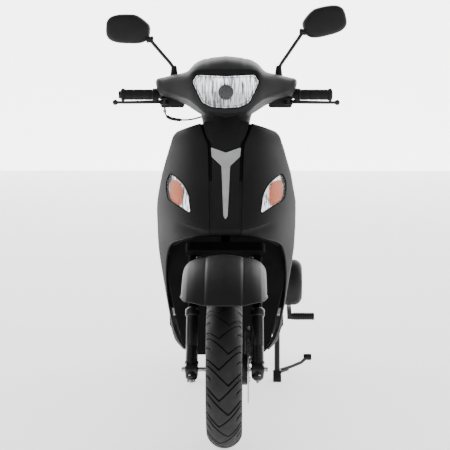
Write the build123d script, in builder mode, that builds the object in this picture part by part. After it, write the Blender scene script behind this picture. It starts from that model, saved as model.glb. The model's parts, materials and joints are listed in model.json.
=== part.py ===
from build123d import *
import os
from math import asin, atan2, cos, hypot, radians, sin, tan

os.makedirs("parts", exist_ok=True)

# A moped scooter standing on its centre stand. Front towards -Y, rider's left towards +X, ground at Z 0.
# Dimensions in mm. A distance "aft" is measured behind the front axle.

# Wheels
front_axle_y = -672.0
front_axle_z = 208.0
wheelbase = 1240.0
rear_axle_z = 238.0
tyre_radius = 208.0
tyre_half_width = 47.0
rim_radius = 127.0
rim_half_width = 35.0
axle_radius = 6.0
running_gap = 0.05
disc_radius = 90.0
disc_x = 63.0

# Steering
rake = 26.0
steer_foot = -80.0
leg_x = 88.0
leg_radius = 16.5
stanchion_radius = 13.0
crown_z = 495.0
crown_thickness = 24.0
stem_radius = 13.0
head_tube_radius = 22.0
collar_z = 857.0
collar_aft = 292.0

# Handlebar
bar_aft = 372.0
bar_z = 926.0
bar_radius = 11.0
bar_end_x = 302.0
grip_inner_x = 204.0
grip_radius = 15.5
lever_z = 908.0
mirror_reach = 342.0

# Body
panel = 3.5
floor_z = 285.0
seat_top_z = 800.0
seat_base_z = 697.0
tail_tip_aft = 1552.0
rail_radius = 13.0

# Engine
engine_pivot_aft = 812.0
engine_pivot_z = 215.0
crank_aft = 985.0
crank_z = 295.0
case_left_x = 98.0
stand_pivot_aft = 855.0
stand_pivot_z = 190.0
stand_foot_aft = 824.0
stand_left_x = 157.0
stand_right_x = -118.0
kick_aft = 1100.0
kick_z = 225.0
shock_x = 86.0
shock_top = (1200.0, 620.0)
shock_plate_x = 100.0
shock_bottom = (1250.0, 320.0)

steer_dir = Vector(0, sin(radians(rake)), cos(radians(rake)))
leg_forward = (-steer_foot - front_axle_z * tan(radians(rake))) * cos(radians(rake))


def aft(distance):
    """Row Y of a point a distance behind the front axle."""
    return front_axle_y + distance


def at(x, distance, z):
    """A point in the row frame from its distance aft."""
    return Vector(x, aft(distance), z)


def steer_plane(z, lift=0.0):
    """Plane square to the steering axis where the axis is at height z, moved up the axis by lift."""
    origin = at(0, steer_foot + z * tan(radians(rake)), z) + steer_dir * lift
    return Plane(origin=origin, x_dir=(1, 0, 0), z_dir=steer_dir)


def radial_plane(distance, z, angle=0.0):
    """Plane through a wheel's axle, with local Y pointing up the radius, turned back by angle."""
    turn = radians(angle)
    return Plane(origin=at(0, distance, z), x_dir=(1, 0, 0), z_dir=(0, -cos(turn), sin(turn)))


def write(piece, name):
    """Label a finished piece and write it as its own file."""
    piece.part.label = name
    export_step(piece.part, "parts/" + name + ".step")


def both_sides(half):
    """A full outline from its half at +X, which starts and ends on the middle line."""
    return half + [(-x, z) for x, z in reversed(half) if x > 0]


def front_prism(outline, near, far):
    """An outline in X and Z, extruded between two distances aft."""
    with BuildPart() as prism:
        with BuildSketch(Plane.XZ.offset(-aft(far))):
            with BuildLine():
                Polyline(*outline, close=True)
            make_face()
        extrude(amount=far - near)
    return prism.part


def side_prism(outline, low_x, high_x):
    """An outline in distance aft and Z, extruded between two X."""
    with BuildPart() as prism:
        with BuildSketch(Plane.YZ.offset(low_x)):
            with BuildLine():
                Polyline(*[(aft(distance), z) for distance, z in outline], close=True)
            make_face()
        extrude(amount=high_x - low_x)
    return prism.part


def plan_prism(outline, low_z, high_z):
    """An outline in X and distance aft, extruded between two heights."""
    with BuildPart() as prism:
        with BuildSketch(Plane.XY.offset(low_z)):
            with BuildLine():
                Polyline(*[(x, aft(distance)) for x, distance in outline], close=True)
            make_face()
        extrude(amount=high_z - low_z)
    return prism.part


def block(low_x, high_x, near, far, low_z, high_z):
    """A rectangular block from its limits."""
    return plan_prism([(low_x, near), (high_x, near), (high_x, far), (low_x, far)], low_z, high_z)


def cross_rod(low_x, high_x, distance, z, radius):
    """A round rod along X."""
    with BuildPart() as rod:
        with BuildSketch(Plane.YZ.offset(low_x)):
            with Locations((aft(distance), z)):
                Circle(radius)
        extrude(amount=high_x - low_x)
    return rod.part


def rod_between(start, end, radius):
    """A round rod from one point to another."""
    run = Vector(end) - Vector(start)
    with BuildPart() as rod:
        with BuildSketch(Plane(origin=start, z_dir=run)):
            Circle(radius)
        extrude(amount=run.length)
    return rod.part


def bent_tube(points, bend, radius, wall=0.0):
    """A round tube along straight runs joined by bends, solid where wall is 0."""
    with BuildPart() as tube:
        with BuildLine() as route:
            FilletPolyline(*points, radius=bend)
        with BuildSketch(Plane(origin=points[0], z_dir=Vector(points[1]) - Vector(points[0]))):
            Circle(radius)
            if wall:
                Circle(radius - wall, mode=Mode.SUBTRACT)
        sweep(path=route.line)
    return tube.part


def shrink(outline, centre, inset):
    """Move an outline's points towards a centre by an inset along each axis."""
    moved = []
    for first, second in outline:
        first_step = inset if first > centre[0] else -inset if first < centre[0] else 0
        second_step = inset if second > centre[1] else -inset
        moved.append((first - first_step, second - second_step))
    return moved


def belt_outline(crank_radius, axle_radius_out, low_x, high_x):
    """The drive case's outline: two rounds joined by tangent sides, extruded between two X."""
    run_y = wheelbase - crank_aft
    run_z = rear_axle_z - crank_z
    span = hypot(run_y, run_z)
    tilt = atan2(run_z, run_y)
    spread = asin((crank_radius - axle_radius_out) / span)
    corners = []
    for centre_aft, centre_z, radius, sign in (
        (crank_aft, crank_z, crank_radius, 1),
        (wheelbase, rear_axle_z, axle_radius_out, 1),
        (wheelbase, rear_axle_z, axle_radius_out, -1),
        (crank_aft, crank_z, crank_radius, -1),
    ):
        angle = tilt + sign * (radians(90) - spread)
        corners.append((centre_aft + radius * cos(angle), centre_z + radius * sin(angle)))
    with BuildPart() as case:
        with BuildSketch(Plane.YZ.offset(low_x)):
            with BuildLine():
                Polyline(*[(aft(distance), z) for distance, z in corners], close=True)
            make_face()
            with Locations((aft(crank_aft), crank_z)):
                Circle(crank_radius)
            with Locations((aft(wheelbase), rear_axle_z)):
                Circle(axle_radius_out)
        extrude(amount=high_x - low_x)
    return case.part


# ---------------------------------------------------------------- leg shield and front body

# Height, half width, distance aft of the middle and of the side edge
shield_sections = [
    (183, 118, 230, 350),
    (226, 152, 222, 346),
    (312, 168, 205, 338),
    (417, 185, 180, 332),
    (489, 196, 162, 338),
    (550, 200, 150, 348),
    (620, 201, 184, 360),
    (700, 187, 224, 372),
    (780, 164, 260, 378),
    (818, 147, 276, 368),
    (880, 60, 296, 340),
]
shield_return = 30.0
shield_bulge = 2.5
collar_plane = Plane(origin=at(0, collar_aft, collar_z), x_dir=(1, 0, 0), z_dir=steer_dir)


def shield_curve(half_width, middle, edge):
    """The front line of one section, flat in the middle and wrapping back at the sides."""
    steps = (-1, -0.8, -0.45, 0, 0.45, 0.8, 1)
    return [(t * half_width, aft(middle + (edge - middle) * abs(t) ** shield_bulge)) for t in steps]


def shield_volume(inset, back=0.0):
    """The front body as a closed volume, inset from its skin, its rear face moved aft by back."""
    with BuildPart() as volume:
        for z, half_width, middle, edge in shield_sections:
            width = half_width - inset
            rear = aft(edge + shield_return + back)
            with BuildSketch(Plane.XY.offset(z)):
                with BuildLine():
                    front = shield_curve(width, middle + inset, edge + inset)
                    Spline(*front)
                    Polyline(front[-1], (width, rear), (-width, rear), front[0])
                make_face()
        loft(ruled=True)
        split(bisect_by=collar_plane.offset(-max(inset, 0.0)), keep=Keep.BOTTOM)
    return volume.part


def shield_layer(prism, outer, inner):
    """The part of a prism that lies between two insets of the shield's skin."""
    with BuildPart() as layer:
        add(prism)
        add(shield_volume(outer), mode=Mode.INTERSECT)
        add(shield_volume(inner, 40), mode=Mode.SUBTRACT)
    return layer.part


arch_half = [
    (0, 552), (70, 548), (121, 532), (157, 511), (168, 470), (172, 420),
    (167, 345), (150, 260), (130, 215), (98, 170), (0, 170),
]
signal_outline = [
    (160, 706), (170, 666), (165, 634), (102, 604), (97, 616), (109, 666), (125, 690),
]

with BuildPart() as leg_shield:
    add(shield_volume(0))
    add(shield_volume(panel, 40), mode=Mode.SUBTRACT)
    add(front_prism(both_sides(arch_half), 60, 420), mode=Mode.SUBTRACT)
    for side in (1, -1):
        opening = [(side * x, z) for x, z in signal_outline]
        add(front_prism(opening, 100, 420), mode=Mode.SUBTRACT)
    with BuildSketch(steer_plane(800)):
        Circle(head_tube_radius + 8)
    extrude(amount=120, mode=Mode.SUBTRACT)
write(leg_shield, "leg_shield")

centre_half = [(0, 846), (43, 842), (43, 780), (36, 556), (0, 556)]
with BuildPart() as centre_panel:
    add(shield_layer(front_prism(both_sides(centre_half), 80, 300), -3, 0))
write(centre_panel, "centre_panel")

trim_half = [
    (0, 771), (40, 790), (38, 765), (13, 739), (11, 735), (5, 600), (0, 591),
]
with BuildPart() as shield_trim:
    add(shield_layer(front_prism(both_sides(trim_half), 80, 300), -5.5, -3))
write(shield_trim, "shield_trim")

with BuildPart() as front_signals:
    for side in (1, -1):
        opening = [(side * x, z) for x, z in signal_outline]
        lens = shield_layer(front_prism(opening, 100, 420), -1.5, 12)
        add(lens)
write(front_signals, "front_signals")

# The inner shield closes the front body behind the rider's knees.
inner_thickness = 4.0
lock_x = -70.0
lock_z = 730.0
lock_aft = 404.0
with BuildPart() as inner_shield:
    for z, half_width, middle, edge in shield_sections[2:]:
        near = aft(edge + shield_return + 0.2)
        with BuildSketch(Plane.XY.offset(z)):
            with BuildLine():
                Polyline(
                    (half_width - 1, near),
                    (half_width - 1, near + inner_thickness),
                    (1 - half_width, near + inner_thickness),
                    (1 - half_width, near),
                    close=True,
                )
            make_face()
    loft(ruled=True)
    split(bisect_by=collar_plane, keep=Keep.BOTTOM)
    with BuildSketch(Plane.XZ.offset(-aft(lock_aft + 14))):
        with Locations((lock_x, lock_z)):
            Circle(17)
    extrude(amount=20)
    with BuildSketch(Plane.XZ.offset(-aft(lock_aft + 14))):
        with Locations((lock_x, lock_z)):
            Circle(6)
    extrude(amount=16, mode=Mode.SUBTRACT)
write(inner_shield, "inner_shield")

with BuildPart() as ignition_key:
    with BuildSketch(Plane.XZ.offset(-aft(lock_aft + 16))):
        with Locations((lock_x, lock_z)):
            Circle(6 - running_gap)
    extrude(amount=15)
    with BuildSketch(Plane.XZ.offset(-aft(lock_aft + 38))):
        with Locations((lock_x, lock_z)):
            Rectangle(3, 9)
    extrude(amount=23)
    with BuildSketch(Plane.YZ.offset(lock_x - 2.5)):
        with Locations((aft(lock_aft + 42), lock_z)):
            RectangleRounded(22, 26, 6)
    extrude(amount=5)
write(ignition_key, "ignition_key")

# The wheel liner is the black wall between the front wheel and the body.
liner_half = [
    (0, 549), (68, 545), (119, 529), (155, 508), (166, 470), (169, 420), (165, 345), (148, 262),
    (128, 218), (96, 186), (0, 186),
]
liner_aft = 308.0
with BuildPart() as wheel_liner:
    add(front_prism(both_sides(liner_half), 140, liner_aft + 3))
    add(front_prism(both_sides(shrink(liner_half, (0, 300), 3)), 100, liner_aft), mode=Mode.SUBTRACT)
    add(block(-200, 200, 100, liner_aft, 150, 260), mode=Mode.SUBTRACT)
    add(shield_volume(panel + 0.5), mode=Mode.INTERSECT)
    with BuildSketch(steer_plane(500)):
        Circle(head_tube_radius + 10)
    extrude(amount=120, mode=Mode.SUBTRACT)
write(wheel_liner, "wheel_liner")

# ---------------------------------------------------------------- frame

head_low_z = 552.0
head_high_z = 826.0
spine_aft = 340.0
with BuildPart() as frame_spine:
    head_length = (head_high_z - head_low_z) / cos(radians(rake))
    with BuildSketch(steer_plane(head_low_z)):
        Circle(head_tube_radius)
    extrude(amount=head_length)
    add(bent_tube([at(0, 275, 690), at(0, spine_aft, 560), at(0, spine_aft, 232), at(0, 384, 232)], 40, 19))
    with BuildSketch(steer_plane(head_low_z - 2)):
        Circle(stem_radius + running_gap)
    extrude(amount=head_length + 4, mode=Mode.SUBTRACT)
write(frame_spine, "frame_spine")

rail_route = [
    (105, 384, 236), (105, 770, 236), (128, 864, 290), (128, 905, 560), (128, 990, 612), (98, 1440, 655),
]
with BuildPart() as frame_rails:
    for side in (1, -1):
        add(bent_tube([at(side * x, distance, z) for x, distance, z in rail_route], 40, rail_radius, 2))
write(frame_rails, "frame_rails")

with BuildPart() as frame_brackets:
    add(cross_rod(-91.5, 91.5, 395, 236, 10))
    add(cross_rod(-91.5, 91.5, 600, 236, 10))
    for side in (1, -1):
        low_x, high_x = sorted((side * 86, side * 91.5))
        add(side_prism([(790, 198), (834, 198), (834, 244), (760, 244)], low_x, high_x))
    add(cross_rod(-88, 88, engine_pivot_aft, engine_pivot_z, axle_radius))
    add(cross_rod(-85.5, 85.5, 1425, 653, 10))
    add(cross_rod(shock_x - 14, shock_plate_x + 0.5, *shock_top, 7))
    plate_low = shock_top[1] - 6
    plate_high = plate_low + 4.8
    add(block(shock_plate_x, shock_plate_x + 3, shock_top[0] - 14, shock_top[0] + 14, plate_low, plate_high))
write(frame_brackets, "frame_brackets")

# ---------------------------------------------------------------- floor, pillar and tail

floor_front = 381.0
floor_rear = 788.0
with BuildPart() as floorboard:
    outer = both_sides([(0, floor_z), (165, floor_z), (165, 262), (140, 205), (0, 205)])
    inner = both_sides([(0, floor_z - 4), (161, floor_z - 4), (161, 263), (134, 200), (0, 200)])
    add(front_prism(outer, floor_front, floor_rear))
    add(front_prism(inner, floor_front - 1, floor_rear + 1), mode=Mode.SUBTRACT)
write(floorboard, "floorboard")

hinge_aft = 775.0
hinge_z = 688.0
with BuildPart() as seat_pillar:
    wall = [(-130, 826), (-122, 806), (-98, 796), (98, 796), (122, 806), (130, 826)]
    add(plan_prism(wall, floor_z + 1, 680))
    add(
        plan_prism([(-126, 830), (-119, 808), (-97, 799), (97, 799), (119, 808), (126, 830)], 280, 690),
        mode=Mode.SUBTRACT,
    )
    for side in (1, -1):
        low_x, high_x = sorted((side * 30, side * 38))
        add(side_prism([(768, 680), (768, 689), (773, 695), (782, 695), (798, 676), (798, 660)], low_x, high_x))
    add(cross_rod(-38, 38, hinge_aft, hinge_z, 4))
write(seat_pillar, "seat_pillar")

tail_plan = [(148, 850), (154, 920), (164, 1040), (162, 1250), (140, 1390), (88, 1500)]
tail_side = [
    (850, 395), (850, 692), (1506, 692), (1506, 640), (1480, 560), (1300, 470), (1100, 425), (960, 395),
]


def tail_volume(inset, over=0.0):
    """The tail as a closed volume inset from its skin, grown up, down and forward by over."""
    half = [(x - inset, distance) for x, distance in tail_plan]
    half = [(half[0][0], half[0][1] - over)] + half[1:]
    half[-1] = (half[-1][0], half[-1][1] - inset)
    outline = half + [(-x, distance) for x, distance in reversed(half)]
    with BuildPart() as volume:
        add(plan_prism(outline, 395 - over, 692 + over))
        if not over:
            add(side_prism(tail_side, -200, 200), mode=Mode.INTERSECT)
    return volume.part


lamp_half = [(0, 668), (70, 664), (62, 600), (0, 596)]
with BuildPart() as side_panels:
    add(tail_volume(0))
    add(tail_volume(3, 30), mode=Mode.SUBTRACT)
    add(front_prism(both_sides(lamp_half), 1440, 1520), mode=Mode.SUBTRACT)
    add(block(-1, 1, 1380, 1520, 380, 700), mode=Mode.SUBTRACT)
write(side_panels, "side_panels")

with BuildPart() as tail_light:
    add(front_prism(both_sides([(0, 667), (69, 663), (61, 601), (0, 597)]), 1478, 1512))
    for side in (1, -1):
        low_x, high_x = sorted((side * 84, side * 146))
        add(block(low_x, high_x, 1490, 1512, 520, 556))
        add(rod_between(at(side * 90, 1500, 538), at(side * 60, 1476, 560), 7))
    add(block(-64, 64, 1470, 1480, 552, 600))
write(tail_light, "tail_light")

bucket_near = 822.0
bucket_far = 1042.0
bucket_low = 440.0
with BuildPart() as storage_bucket:
    add(block(-110, 110, bucket_near, bucket_far, bucket_low, 691))
    add(block(-107, 107, bucket_near + 3, bucket_far - 3, bucket_low + 3, 700), mode=Mode.SUBTRACT)
    add(block(-118, 118, bucket_near - 6, bucket_far + 8, 691, 694))
    add(block(-107, 107, bucket_near + 3, bucket_far - 3, 680, 700), mode=Mode.SUBTRACT)
write(storage_bucket, "storage_bucket")

tank_low_x = -92.0
tank_x = -30.0
filler_aft = 1110.0
with BuildPart() as fuel_tank:
    add(block(tank_low_x, 42, 1062, 1372, 532, 640))
    with BuildSketch(Plane.XY.offset(640)):
        with Locations((tank_x, aft(filler_aft))):
            Circle(22)
    extrude(amount=24)
    add(block(tank_low_x + 3, 39, 1065, 1369, 535, 637), mode=Mode.SUBTRACT)
    with BuildSketch(Plane.XY.offset(630)):
        with Locations((tank_x, aft(filler_aft))):
            Circle(17)
    extrude(amount=40, mode=Mode.SUBTRACT)
write(fuel_tank, "fuel_tank")

with BuildPart() as fuel_cap:
    with BuildSketch(Plane.XY.offset(650)):
        with Locations((tank_x, aft(filler_aft))):
            Circle(17 - running_gap)
    extrude(amount=15)
    with BuildSketch(Plane.XY.offset(664.4)):
        with Locations((tank_x, aft(filler_aft))):
            Circle(28)
            with PolarLocations(28, 12):
                Circle(2.5, mode=Mode.SUBTRACT)
    extrude(amount=18)
write(fuel_cap, "fuel_cap")

carrier_z = 770.0
carrier_hole_radius = 3.3
with BuildPart() as rear_carrier:
    with BuildSketch(Plane.XY.offset(carrier_z)):
        with Locations((0, aft(1474))):
            RectangleRounded(180, 132, 22)
            RectangleRounded(60, 96, 12, mode=Mode.SUBTRACT)
            with GridLocations(130, 90, 2, 2):
                Circle(carrier_hole_radius, mode=Mode.SUBTRACT)
    extrude(amount=8)
    for side in (1, -1):
        low_x, high_x = sorted((side * 70, side * 78))
        add(side_prism([(1412, 771), (1500, 771), (1450, 664), (1418, 664)], low_x, high_x))
write(rear_carrier, "rear_carrier")

plate_hole_radius = 3.2
with BuildPart() as rear_mudguard:
    guard_line = [(1372, 530), (1395, 536), (1470, 505), (1552, 500), (1552, 350), (1548, 350), (1548, 496)]
    add(side_prism(guard_line + [(1468, 500), (1394, 530)], -62, 62))
    add(block(-85, 85, 1548, tail_tip_aft, 400, 500))
    with BuildSketch(Plane.XZ.offset(-aft(tail_tip_aft + 1))):
        with Locations((-60, 470), (60, 470)):
            Circle(plate_hole_radius)
    extrude(amount=8, mode=Mode.SUBTRACT)
write(rear_mudguard, "rear_mudguard")

# ---------------------------------------------------------------- seat

seat_plan = [(98, 752), (118, 800), (128, 900), (150, 1080), (152, 1220), (128, 1350), (80, 1398)]
with BuildPart() as seat_base:
    outline = seat_plan + [(-x, distance) for x, distance in reversed(seat_plan)]
    add(plan_prism(outline, seat_base_z, seat_base_z + 5))
    add(cross_rod(-29.5, 29.5, hinge_aft, hinge_z, 9))
    add(block(-29.5, 29.5, hinge_aft - 8, hinge_aft + 8, hinge_z, seat_base_z + 2))
    add(cross_rod(-31, 31, hinge_aft, hinge_z, 4 + running_gap), mode=Mode.SUBTRACT)
write(seat_base, "seat_base")

seat_side = [
    (748, 703), (760, 762), (800, 778), (1000, 768), (1060, 782), (1100, seat_top_z),
    (1340, seat_top_z), (1390, 785), (1402, 703),
]
with BuildPart() as seat_cushion:
    grown = [(x + 4, distance) for x, distance in seat_plan]
    add(plan_prism(grown + [(-x, distance) for x, distance in reversed(grown)], 703, 805))
    add(side_prism(seat_side, -160, 160), mode=Mode.INTERSECT)
    cushion_front = both_sides(
        [(0, seat_top_z), (95, seat_top_z - 4), (140, 775), (156, 735), (156, 703), (0, 703)]
    )
    add(front_prism(cushion_front, 700, 1450), mode=Mode.INTERSECT)
write(seat_cushion, "seat_cushion")

# ---------------------------------------------------------------- steering and handlebar

with BuildPart() as fork_crown:
    with BuildSketch(steer_plane(crown_z)):
        with Locations((0, -8)):
            RectangleRounded(216, 58, 20)
    extrude(amount=crown_thickness)
    with BuildSketch(steer_plane(crown_z)):
        Circle(stem_radius)
    extrude(amount=(892 - crown_z) / cos(radians(rake)))
    with BuildSketch(steer_plane(crown_z, crown_thickness)):
        with Locations((leg_x, -leg_forward), (-leg_x, -leg_forward)):
            Circle(stanchion_radius)
    extrude(amount=-250)
    with BuildSketch(steer_plane(crown_z, crown_thickness)):
        Circle(stem_radius + 7)
    extrude(amount=4)
write(fork_crown, "fork_crown")

stem_top_aft = steer_foot + 905 * tan(radians(rake))
bar_route = [
    (-bar_end_x, bar_aft, bar_z), (-112, bar_aft, bar_z), (-52, stem_top_aft, 908),
    (52, stem_top_aft, 908), (112, bar_aft, bar_z), (bar_end_x, bar_aft, bar_z),
]
with BuildPart() as handlebar:
    add(bent_tube([at(x, distance, z) for x, distance, z in bar_route], 45, bar_radius))
    with BuildSketch(steer_plane(865)):
        Circle(stem_radius + 6)
        Circle(stem_radius, mode=Mode.SUBTRACT)
    extrude(amount=38)
    with BuildSketch(Plane.YZ.offset(-bar_end_x - 5)):
        with Locations((aft(bar_aft), bar_z)):
            Circle(bar_radius)
    extrude(amount=5.5)
write(handlebar, "handlebar")

cowl_front_half = [
    (0, 1036), (42, 1036), (80, 1020), (110, 993), (200, 970), (190, 944), (181, 922), (118, 922),
    (108, 908), (74, 885), (69, 853), (66, 800), (0, 800),
]
cowl_side = [
    (284, 800), (284, 866), (250, 890), (225, 902), (206, 940), (216, 986), (255, 1016),
    (310, 1036), (400, 1036), (445, 1000), (440, 930), (404, 885), (372, 800),
]
cowl_plan_half = [
    (0, 206), (92, 206), (112, 236), (160, 290), (200, 335), (200, 400), (150, 425), (80, 446), (0, 446),
]
cowl_split = 352.0
lens_half = [(0, 982), (80, 986), (93.5, 966), (66, 908), (40, 895), (0, 892)]


def cowl_volume(inset, low=0.0):
    """The handlebar cowl as a closed volume inset from its skin, its neck open below when low is set."""
    front = both_sides(shrink(cowl_front_half, (0, 940), inset))
    side = shrink(cowl_side, (330, 940), inset)
    plan = both_sides(shrink(cowl_plan_half, (0, 350), inset))
    with BuildPart() as volume:
        add(front_prism(front, 150, 500))
        add(side_prism(side, -220, 220), mode=Mode.INTERSECT)
        add(plan_prism(plan, 780, 1060), mode=Mode.INTERSECT)
        if not low:
            split(bisect_by=collar_plane.offset(1.5), keep=Keep.TOP)
    return volume.part


def cowl_shell():
    """The hollow cowl with openings for the lens, the bar and the mirror stems."""
    with BuildPart() as shell:
        add(cowl_volume(0))
        add(cowl_volume(3, 1), mode=Mode.SUBTRACT)
        add(front_prism(both_sides(lens_half), 150, 300), mode=Mode.SUBTRACT)
        bar_points = [at(x, distance, z) for x, distance, z in bar_route]
        add(bent_tube(bar_points, 45, bar_radius + 1), mode=Mode.SUBTRACT)
        for side in (1, -1):
            add(rod_between(at(side * 148, 352, 900), at(side * 148, 352, 1010), 11.5), mode=Mode.SUBTRACT)
    return shell.part


with BuildPart() as headlight_cowl:
    add(cowl_shell())
    add(block(-260, 260, cowl_split, 500, 780, 1060), mode=Mode.SUBTRACT)
write(headlight_cowl, "headlight_cowl")

with BuildPart() as rear_cowl:
    add(cowl_shell())
    add(block(-260, 260, 150, cowl_split + 0.3, 780, 1060), mode=Mode.SUBTRACT)
write(rear_cowl, "rear_cowl")

lens_shape = both_sides(shrink(lens_half, (0, 940), 0.4))
with BuildPart() as headlight_lens:
    add(front_prism(lens_shape, 196, 260))
    add(cowl_volume(-1), mode=Mode.INTERSECT)
    add(cowl_volume(2.5, 1), mode=Mode.SUBTRACT)
write(headlight_lens, "headlight_lens")

reflector_mouth = 240.0
with BuildPart() as headlight_reflector:
    with BuildSketch(Plane.XZ.offset(-aft(reflector_mouth))):
        with BuildLine():
            Polyline(*both_sides(shrink(lens_half, (0, 940), 9)), close=True)
        make_face()
    with BuildSketch(Plane.XZ.offset(-aft(300))):
        with Locations((0, 938)):
            Ellipse(40, 26)
    loft()
    with BuildSketch(Plane.XZ.offset(-aft(reflector_mouth - 1))):
        with BuildLine():
            Polyline(*both_sides(shrink(lens_half, (0, 940), 12)), close=True)
        make_face()
    with BuildSketch(Plane.XZ.offset(-aft(297))):
        with Locations((0, 938)):
            Ellipse(37, 23)
    loft(mode=Mode.SUBTRACT)
    with BuildSketch(Plane.XZ.offset(-aft(300))):
        with Locations((0, 936)):
            Circle(19)
    extrude(amount=48)
write(headlight_reflector, "headlight_reflector")

fender_half_width = 115.0
fender_radius = 306.0
fender_rear_angle = 18.0
fender_sweep = 66.0
with BuildPart() as front_fender:
    with BuildSketch(radial_plane(0, front_axle_z, fender_rear_angle)) as section:
        with BuildLine():
            outer = [
                (0, fender_radius),
                (62, fender_radius - 3),
                (100, fender_radius - 14),
                (115, fender_radius - 34),
            ]
            outer = outer + [(fender_half_width, 240)]
            inner = [(fender_half_width - 3, 240), (112, fender_radius - 35), (98, fender_radius - 17)]
            inner = inner + [(61, fender_radius - 6), (0, fender_radius - 3)]
            half = outer + inner
            Polyline(*half)
            Polyline(*[(-x, z) for x, z in half])
        make_face()
    revolve(axis=Axis(at(0, 0, front_axle_z), (1, 0, 0)), revolution_arc=fender_sweep)
    tray = [(70, 499), (70, 505), (132, 508.6), (165, 492.5), (165, 487), (131, 502), (76, 498)]
    add(side_prism(tray, -30, 30))
write(front_fender, "front_fender")


def grip_solid(low_x, high_x, bore):
    """A ribbed rubber grip with a flange at each end."""
    with BuildPart() as grip:
        add(cross_rod(low_x, high_x, bar_aft, bar_z, grip_radius - 1.2))
        count = 12
        pitch = (high_x - low_x) / count
        for index in range(count):
            start = low_x + pitch * (index + 0.2)
            add(cross_rod(start, start + pitch * 0.6, bar_aft, bar_z, grip_radius))
        add(cross_rod(low_x, low_x + 4, bar_aft, bar_z, grip_radius + 3))
        add(cross_rod(high_x - 4, high_x, bar_aft, bar_z, grip_radius + 3))
        add(cross_rod(low_x - 1, high_x + 1, bar_aft, bar_z, bore), mode=Mode.SUBTRACT)
    return grip.part


with BuildPart() as left_grip:
    add(grip_solid(grip_inner_x, bar_end_x, bar_radius))
write(left_grip, "left_grip")

with BuildPart() as throttle_grip:
    add(grip_solid(-bar_end_x, -grip_inner_x, bar_radius + running_gap))
write(throttle_grip, "throttle_grip")

lever_pivot_x = 176.0
lever_pivot_aft = 334.0
button_x = 150.0
with BuildPart() as control_housings:
    for side in (1, -1):
        low_x, high_x = sorted((side * 119, side * 187))
        add(block(low_x, high_x, 346, 398, 889, 920))
        low_x, high_x = sorted((side * 193, side * 203.4))
        add(cross_rod(low_x, high_x, bar_aft, bar_z, 19))
        low_x, high_x = sorted((side * 180, side * 203.4))
        add(block(low_x, high_x, 356, 390, 893, 920))
        low_x, high_x = sorted((side * 164, side * 188))
        add(block(low_x, high_x, 322, 347, 897, 901.5))
        add(block(low_x, high_x, 322, 347, 914.5, 919))
        pivot = at(side * lever_pivot_x, lever_pivot_aft, 897)
        add(rod_between(pivot, pivot + Vector(0, 0, 22), 4))
        button_mouth = at(side * button_x, 399, 905)
        add(rod_between(button_mouth, button_mouth - Vector(0, 8, 0), 6.5), mode=Mode.SUBTRACT)
        add(cross_rod(-204, 204, bar_aft, bar_z, bar_radius), mode=Mode.SUBTRACT)
write(control_housings, "control_housings")

lever_route = [(0, 0), (22, -18), (64, -26), (134, -20)]
lever_tip_x = 312.0
lever_pivot = at(lever_pivot_x, lever_pivot_aft, lever_z - 6)
with BuildPart() as left_brake_lever:
    blade = [at(lever_pivot_x + x, lever_pivot_aft + y, lever_z) for x, y in lever_route]
    add(bent_tube(blade, 14, 5.2))
    add(rod_between(lever_pivot, lever_pivot + Vector(0, 0, 12), 9))
    with Locations(at(lever_tip_x, lever_pivot_aft - 20, lever_z - 2)):
        Sphere(8)
    bore = rod_between(lever_pivot - Vector(0, 0, 2), lever_pivot + Vector(0, 0, 14), 4 + running_gap)
    add(bore, mode=Mode.SUBTRACT)
write(left_brake_lever, "left_brake_lever")

with BuildPart() as right_brake_lever:
    mirror(left_brake_lever.part, about=Plane.YZ)
write(right_brake_lever, "right_brake_lever")

for name, side in (("horn", 1), ("starter", -1)):
    with BuildPart() as button:
        foot = at(side * button_x, 396, 905)
        add(rod_between(foot, foot + Vector(0, 8, 0), 6.4))
    write(button, name + "_button")

cable_route = [
    (-176, 372, 889), (-176, 372, 874), (-160, 364, 858), (-122, 352, 855), (-98, 347, 857), (-74, 343, 863),
]
with BuildPart() as throttle_cable:
    add(bent_tube([at(x, distance, z) for x, distance, z in cable_route], 9, 2.5))
write(throttle_cable, "throttle_cable")

# ---------------------------------------------------------------- mirrors

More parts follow.
